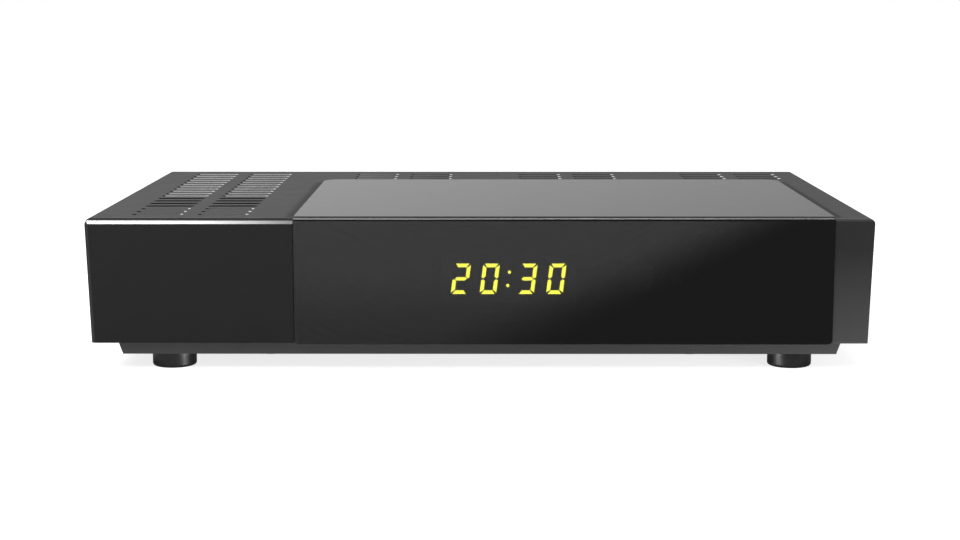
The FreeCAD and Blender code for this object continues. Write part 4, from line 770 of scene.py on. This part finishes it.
class RECEIVER_OT_contacts(bpy.types.Operator):
    """Spring contacts inside the rear sockets"""

    bl_idname = "receiver.contacts"
    bl_label = "Socket contacts"

    def execute(self, context):
        for make in (self.satellite, self.audio, self.scart, self.hdmi, self.usb, self.eye,
                     self.dc):
            bm = bmesh.new()
            make(bm)
            piece(f"{make.__name__}_contacts", bm, hardware("contact_metal"),
                  smooth=30)
        return {"FINISHED"}

    def leaves(self, bm, axis, radius, sheet, start, end, angles, spread):
        """Curved leaves of a round contact, each with a rounded lip."""
        section = [(radius - sheet, start), (radius, start), (radius, end - 2 * sheet),
                   (radius - sheet / 2, end), (radius - sheet, end - sheet)]
        for angle in angles:
            wound(bm, section, axis, math.radians(angle - spread / 2), math.radians(spread), 10)

    def satellite(self, bm):
        for low, high in islands("connector_insulators"):
            self.leaves(bm, axis_of(low, high), 0.56 * MM, 0.14 * MM, high.y - 4 * MM,
                        high.y - 0.25 * MM, angles=(0, 180), spread=140)

    def audio(self, bm):
        low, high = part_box("coaxial_audio_sleeve")
        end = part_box("coaxial_audio_socket")[1].y
        self.leaves(bm, axis_of(low, high), 1.6 * MM, 0.2 * MM, end - 8.5 * MM, end - 0.5 * MM,
                    angles=(0, 120, 240), spread=96)

    def eye(self, bm):
        low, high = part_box("remote_eye_jack")
        self.leaves(bm, axis_of(low, high), 1.76 * MM, 0.16 * MM, high.y - 9 * MM,
                    high.y - 3 * MM, angles=(-90, 90), spread=50)

    def dc(self, bm):
        low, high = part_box("dc_contact_pin")
        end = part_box("dc_inlet")[1].y
        self.leaves(bm, axis_of(low, high), 3.15 * MM, 0.25 * MM, end - 8 * MM, end - 2.5 * MM,
                    angles=(90,), spread=44)

    def scart(self, bm):
        """Twenty leaves, each bowed towards the middle of its chamber."""
        low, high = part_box("scart_shell")
        middle, mouth = axis_of(low, high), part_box("scart_insert")[1].y
        columns, pitch, rise, wide = 10, 3.6, 2.6, 0.8
        leaf = [(-5.8, -1.2), (-1.9, -1.2), (-0.9, -0.5), (-0.5, -0.7), (-0.5, -0.95),
                (-0.9, -0.8), (-1.8, -1.45), (-5.8, -1.45)]
        for column in range(columns):
            across = pitch * (column - (columns - 1) / 2) - wide / 2
            for row in (-1, 1):
                place = middle + mm(across, 0, rise * row) + mouth * REAR
                plate(bm, leaf, place, REAR * MM, UP * MM, wide * MM * RIGHT)

    def strips(self, bm, node, places, wide, long, side):
        """Flat contacts along the upper (1) or lower (-1) face of a contact tongue."""
        low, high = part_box(node)
        start = axis_of(low, high) + (high.y - 0.5 * MM) * REAR
        face, sheet = 0.7 * side, 0.08 * side
        outline = [(0, 0), (-long, 0), (-long, sheet), (-0.3, sheet)]
        for place in places:
            corner = start + mm(place - wide / 2, 0, face)
            plate(bm, outline, corner, REAR * MM, UP * MM, wide * MM * RIGHT)

    def hdmi(self, bm):
        """Ten strips over the tongue and nine under it, 1 mm apart."""
        for count, side in ((10, 1), (9, -1)):
            places = [number - (count - 1) / 2 for number in range(count)]
            self.strips(bm, "hdmi_insert", places, 0.42, 4.2, side)

    def usb(self, bm):
        self.strips(bm, "usb_insert", (-3.5, -1.0, 1.0, 3.5), 1.0, 6.0, 1)


class RECEIVER_OT_rocker_marks(bpy.types.Operator):
    """On and off marks, a bar and a ring, on the two faces of the power rocker"""

    bl_idname = "receiver.rocker_marks"
    bl_label = "Rocker marks"

    SUNK, PROUD = -0.05 * MM, 0.04 * MM  # under and over the rocker's face

    def execute(self, context):
        bm = bmesh.new()
        faces = [f for f in frame["nodes"]["power_rocker"].data.polygons if f.normal.y > 0.8]
        low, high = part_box("power_rocker")
        pivot = (low.z + high.z) / 2
        for make, half in ((self.bar, [f for f in faces if f.center.z > pivot]),
                           (self.ring, [f for f in faces if f.center.z <= pivot])):
            centre = sum((f.center * f.area for f in half), Vector()) / sum(f.area for f in half)
            normal = sum((f.normal * f.area for f in half), Vector())
            turn = REAR.rotation_difference(normal).to_matrix().to_4x4()
            added(bm, make(), Matrix.Translation(centre) @ turn)
        piece("rocker_marks", bm, hardware("insulator"), body="rocker", smooth=35)
        return {"FINISHED"}

    def bar(self):
        bm = bmesh.new()
        plate(bm, [(-0.25, -1.15), (0.25, -1.15), (0.25, 1.15), (-0.25, 1.15)],
              self.SUNK * REAR, RIGHT * MM, UP * MM, (self.PROUD - self.SUNK) * REAR)
        return bm

    def ring(self):
        bm = bmesh.new()
        inner, outer = 0.78 * MM, 1.15 * MM
        lathe(bm, [(inner, self.SUNK), (outer, self.SUNK), (outer, self.PROUD),
                   (inner, self.PROUD), (inner, self.SUNK)], Vector(), REAR, 32)
        return bm


# ---------------------------------------------------------------- board details


class RECEIVER_OT_chip_legs(bpy.types.Operator):
    """Legs of the chips and the voltage regulators"""

    bl_idname = "receiver.chip_legs"
    bl_label = "Chip legs"

    def execute(self, context):
        pitch = context.scene.receiver_sizes.chip_pitch
        both = (-1, 1)
        bm = bmesh.new()
        for name, step, wide, sides in (("memory_chips", pitch, 0.3, both),
                                        ("flash_chip", 1.27 * MM, 0.42, both),
                                        ("lnb_supply_chip", 1.0 * MM, 0.35, both),
                                        ("voltage_regulators", 2.3 * MM, 0.8, (1,))):
            for low, high in islands(name):
                self.row(bm, low, high, step, wide * MM, sides)
        piece("chip_legs", bm, hardware("can_tin"))
        return {"FINISHED"}

    def row(self, bm, low, high, pitch, wide, sides):
        """Gull-wing legs along the sides of a chip, from its waist down to the board."""
        waist, sheet, solder = (high.z - low.z) / MM * 0.55, 0.14, 0.02
        leg = [(0, waist), (0.35, waist), (0.6, solder + sheet), (1.05, solder + sheet),
               (1.05, solder), (0.5, solder), (0.28, waist - sheet), (0, waist - sheet)]
        count = int((high.y - low.y - wide) / pitch) + 1
        first = (low.y + high.y - wide - (count - 1) * pitch) / 2
        for side in sides:
            edge = high.x if side > 0 else low.x
            for number in range(count):
                plate(bm, leg, Vector((edge, first + number * pitch, low.z)), side * MM * RIGHT,
                      UP * MM, wide * REAR)


class RECEIVER_OT_capacitor_tops(bpy.types.Operator):
    """Bare aluminium tops of the capacitors with their vent crosses"""

    bl_idname = "receiver.capacitor_tops"
    bl_label = "Capacitor tops"

    def execute(self, context):
        bm = bmesh.new()
        for name in ("storage_capacitors", "filter_capacitors"):
            for low, high in islands(name):
                middle = Vector(((low.x + high.x) / 2, (low.y + high.y) / 2, high.z))
                self.top(bm, middle, (high.x - low.x) / 2)
        piece("capacitor_tops", bm, hardware("sink_aluminium"), smooth=35)
        return {"FINISHED"}

    def top(self, bm, middle, radius):
        """A thin disc in the sleeve's rolled edge, with a cross on it."""
        lift, rim = 0.12 * MM, 0.86 * radius
        lathe(bm, [(0, -lift), (rim, -lift), (rim, lift / 2), (0.82 * radius, lift), (0, lift)],
              middle, UP, 32)
        half, thin = 0.62 * radius, 0.12 * MM
        for across, along in ((RIGHT, REAR), (REAR, -RIGHT)):
            plate(bm, [(-half, -thin), (half, -thin), (half, thin), (-half, thin)],
                  middle + lift / 2 * UP, across, along, 0.8 * lift * UP)


# ---------------------------------------------------------------- stage


class RECEIVER_OT_stage(bpy.types.Operator):
    """Camera, pale floor, plain light and white surroundings"""

    bl_idname = "receiver.stage"
    bl_label = "Stage"

    def execute(self, context):
        scene = context.scene
        scene.view_settings.view_transform = "Standard"
        self.camera(scene)
        self.surroundings(scene)
        self.floor(scene)
        self.flag(scene)
        self.lamp(scene, "softbox", place=(-350, -550, 850), aim=(0, -40, 20),
                  size=(1100, 750), power=13.0)
        fill = self.lamp(scene, "low_fill", place=(170, -170, 18), aim=(112, -75, 14),
                         size=(60, 20), power=0.1)
        fill.visible_glossy = False
        glint = self.lamp(scene, "foot_glint", place=(0, -95, 6), aim=(0, -63, 2),
                          size=(100, 8), power=0.155)
        self.only(glint, FEET)
        edge = self.lamp(scene, "edge_strip", place=(350, -470, 850), aim=(50, -70, 40),
                         size=(700, 360), power=4.3)
        self.only(edge, ["gloss_front_panel"])
        return {"FINISHED"}

    def camera(self, scene):
        """Looks along +Y from a little over the case."""
        data = bpy.data.cameras.new("camera")
        data.sensor_width, data.lens = 36, 68.51
        data.clip_start, data.clip_end = 0.01, 100
        made = bpy.data.objects.new("camera", data)
        made.location = mm(1.73, -577.5, 104.33)
        made.rotation_euler = [math.radians(angle) for angle in (81.487, 0, 0.178)]
        scene.collection.objects.link(made)
        scene.camera = made

    def surroundings(self, scene):
        """White to the eye. Mirrors see a grey backdrop, a bright ceiling and a darker room."""
        world = Surroundings("studio")
        x, y, z = (world.axis(which) for which in (X, Y, Z))
        backdrop = world.calc("MULTIPLY_ADD", x, -0.55, third=0.53)
        behind = world.blend(world.range(z, 0.25, 0.6, smooth=True), backdrop, 1.0)
        room = world.blend(world.range(z, 0.5, 0.75, smooth=True), 0.3, 1.0)
        mirrored = world.blend(world.range(y, -0.2, 0.2, smooth=True), room, behind)
        path = world.node("ShaderNodeLightPath").outputs
        strength = world.blend(path["Is Glossy Ray"], 0.25, mirrored)
        seen = world.calc("MAXIMUM", path["Is Camera Ray"], path["Is Transmission Ray"])
        strength = world.blend(seen, strength, 1.0)
        world.join((1, 1, 1), world.light.inputs["Color"])
        world.join(strength, world.light.inputs["Strength"])
        scene.world = world.world

    def ground(self, scene, name, low, high, height):
        """A flat stage piece between two corners."""
        bm = bmesh.new()
        bmesh.ops.create_grid(bm, x_segments=1, y_segments=1, size=0.5)
        bmesh.ops.scale(bm, verts=bm.verts, vec=(high[0] - low[0], high[1] - low[1], 1))
        centre = ((low[0] + high[0]) / 2, (low[1] + high[1]) / 2, height)
        bmesh.ops.translate(bm, verts=bm.verts, vec=centre)
        data = bpy.data.meshes.new(name)
        bm.to_mesh(data)
        bm.free()
        made = bpy.data.objects.new(name, data)
        scene.collection.objects.link(made)
        return made

    def floor(self, scene):
        """Pale matte floor, white to the eye, with the object's soft shadow, and painted shade
        near the object in gloss.
        """
        floor = Finish("pale_floor", grey(0.8), 0.9, Specular_IOR_Level=0.0)
        path = floor.node("ShaderNodeLightPath").outputs
        glossy = path["Is Glossy Ray"]
        mirrored = floor.product(glossy, 0.08)
        seen = floor.calc("MAXIMUM", path["Is Camera Ray"], path["Is Transmission Ray"])
        # painted shade: in gloss the floor is darker near the object
        near = floor.range(floor.axis(Y), -270 * MM, -130 * MM, smooth=True)
        floor.base = floor.mix(floor.product(glossy, near), floor.base, grey(0.56))
        floor.join((1, 1, 1), floor.shader.inputs["Emission Color"])
        floor.join(floor.calc("MULTIPLY_ADD", seen, 0.8, third=mirrored),
                   floor.shader.inputs["Emission Strength"])
        made = self.ground(scene, "floor", (-30, -30), (30, 30), 0)
        made.data.materials.append(floor.done())

    def flag(self, scene):
        """A dim board on the floor, seen only in gloss: it darkens the right of the window."""
        flag = Finish("flag", grey(0.0), 1.0, Specular_IOR_Level=0.0)
        edge = flag.calc("MULTIPLY_ADD", flag.axis(Y), 0.42, third=flag.axis(X))
        share = flag.range(edge, -77 * MM, -23 * MM, smooth=True)
        flag.join(share, flag.shader.inputs["Alpha"])
        flag.join((1, 1, 1), flag.shader.inputs["Emission Color"])
        flag.join(0.28, flag.shader.inputs["Emission Strength"])
        made = self.ground(scene, "flag", (-0.1, -1.2), (1.2, -0.08), 0.5 * MM)
        made.data.materials.append(flag.done())
        made.visible_camera = made.visible_diffuse = made.visible_transmission = False
        made.visible_shadow = made.visible_volume_scatter = False

    def only(self, lamp, names):
        """Keeps a lamp's light for some of the nodes."""
        lit = bpy.data.collections.new(lamp.name)
        for name in names:
            lit.objects.link(frame["nodes"][name])
        lamp.light_linking.receiver_collection = lit

    def lamp(self, scene, name, place, aim, size, power):
        data = bpy.data.lights.new(name, "AREA")
        data.shape, data.energy = "RECTANGLE", power
        data.size, data.size_y = size[0] * MM, size[1] * MM
        made = bpy.data.objects.new(name, data)
        made.location = mm(*place)
        made.rotation_euler = (mm(*aim) - mm(*place)).to_track_quat("-Z", "Y").to_euler()
        scene.collection.objects.link(made)
        return made


# ---------------------------------------------------------------- panel


OPERATORS = (RECEIVER_OT_stage, RECEIVER_OT_cover, RECEIVER_OT_case, RECEIVER_OT_window,
             RECEIVER_OT_clock, RECEIVER_OT_hardware, RECEIVER_OT_threads, RECEIVER_OT_contacts,
             RECEIVER_OT_rocker_marks, RECEIVER_OT_chip_legs, RECEIVER_OT_capacitor_tops)


class RECEIVER_PT_dressing(bpy.types.Panel):
    """Settings and steps in the 3D view's sidebar"""

    bl_idname = "RECEIVER_PT_dressing"
    bl_label = "Receiver"
    bl_space_type = "VIEW_3D"
    bl_region_type = "UI"
    bl_category = "Receiver"

    def draw(self, context):
        for group in (context.scene.receiver_finishes, context.scene.receiver_sizes):
            for name in group.bl_rna.properties.keys():
                if name not in ("rna_type", "name"):
                    self.layout.prop(group, name)
        for operator in OPERATORS:
            self.layout.operator(operator.bl_idname)


CLASSES = (ReceiverFinishes, ReceiverSizes, *OPERATORS, RECEIVER_PT_dressing)


def register():
    for cls in CLASSES:
        bpy.utils.register_class(cls)
    bpy.types.Scene.receiver_finishes = PointerProperty(type=ReceiverFinishes)
    bpy.types.Scene.receiver_sizes = PointerProperty(type=ReceiverSizes)


def unregister():
    del bpy.types.Scene.receiver_sizes
    del bpy.types.Scene.receiver_finishes
    for cls in reversed(CLASSES):
        bpy.utils.unregister_class(cls)


def main():
    register()
    receiver = bpy.ops.receiver
    receiver.stage()
    receiver.cover()
    receiver.case()
    receiver.window()
    receiver.clock()
    receiver.hardware()
    receiver.threads()
    receiver.contacts()
    receiver.rocker_marks()
    receiver.chip_legs()
    receiver.capacitor_tops()


if __name__ == "__main__":
    main()
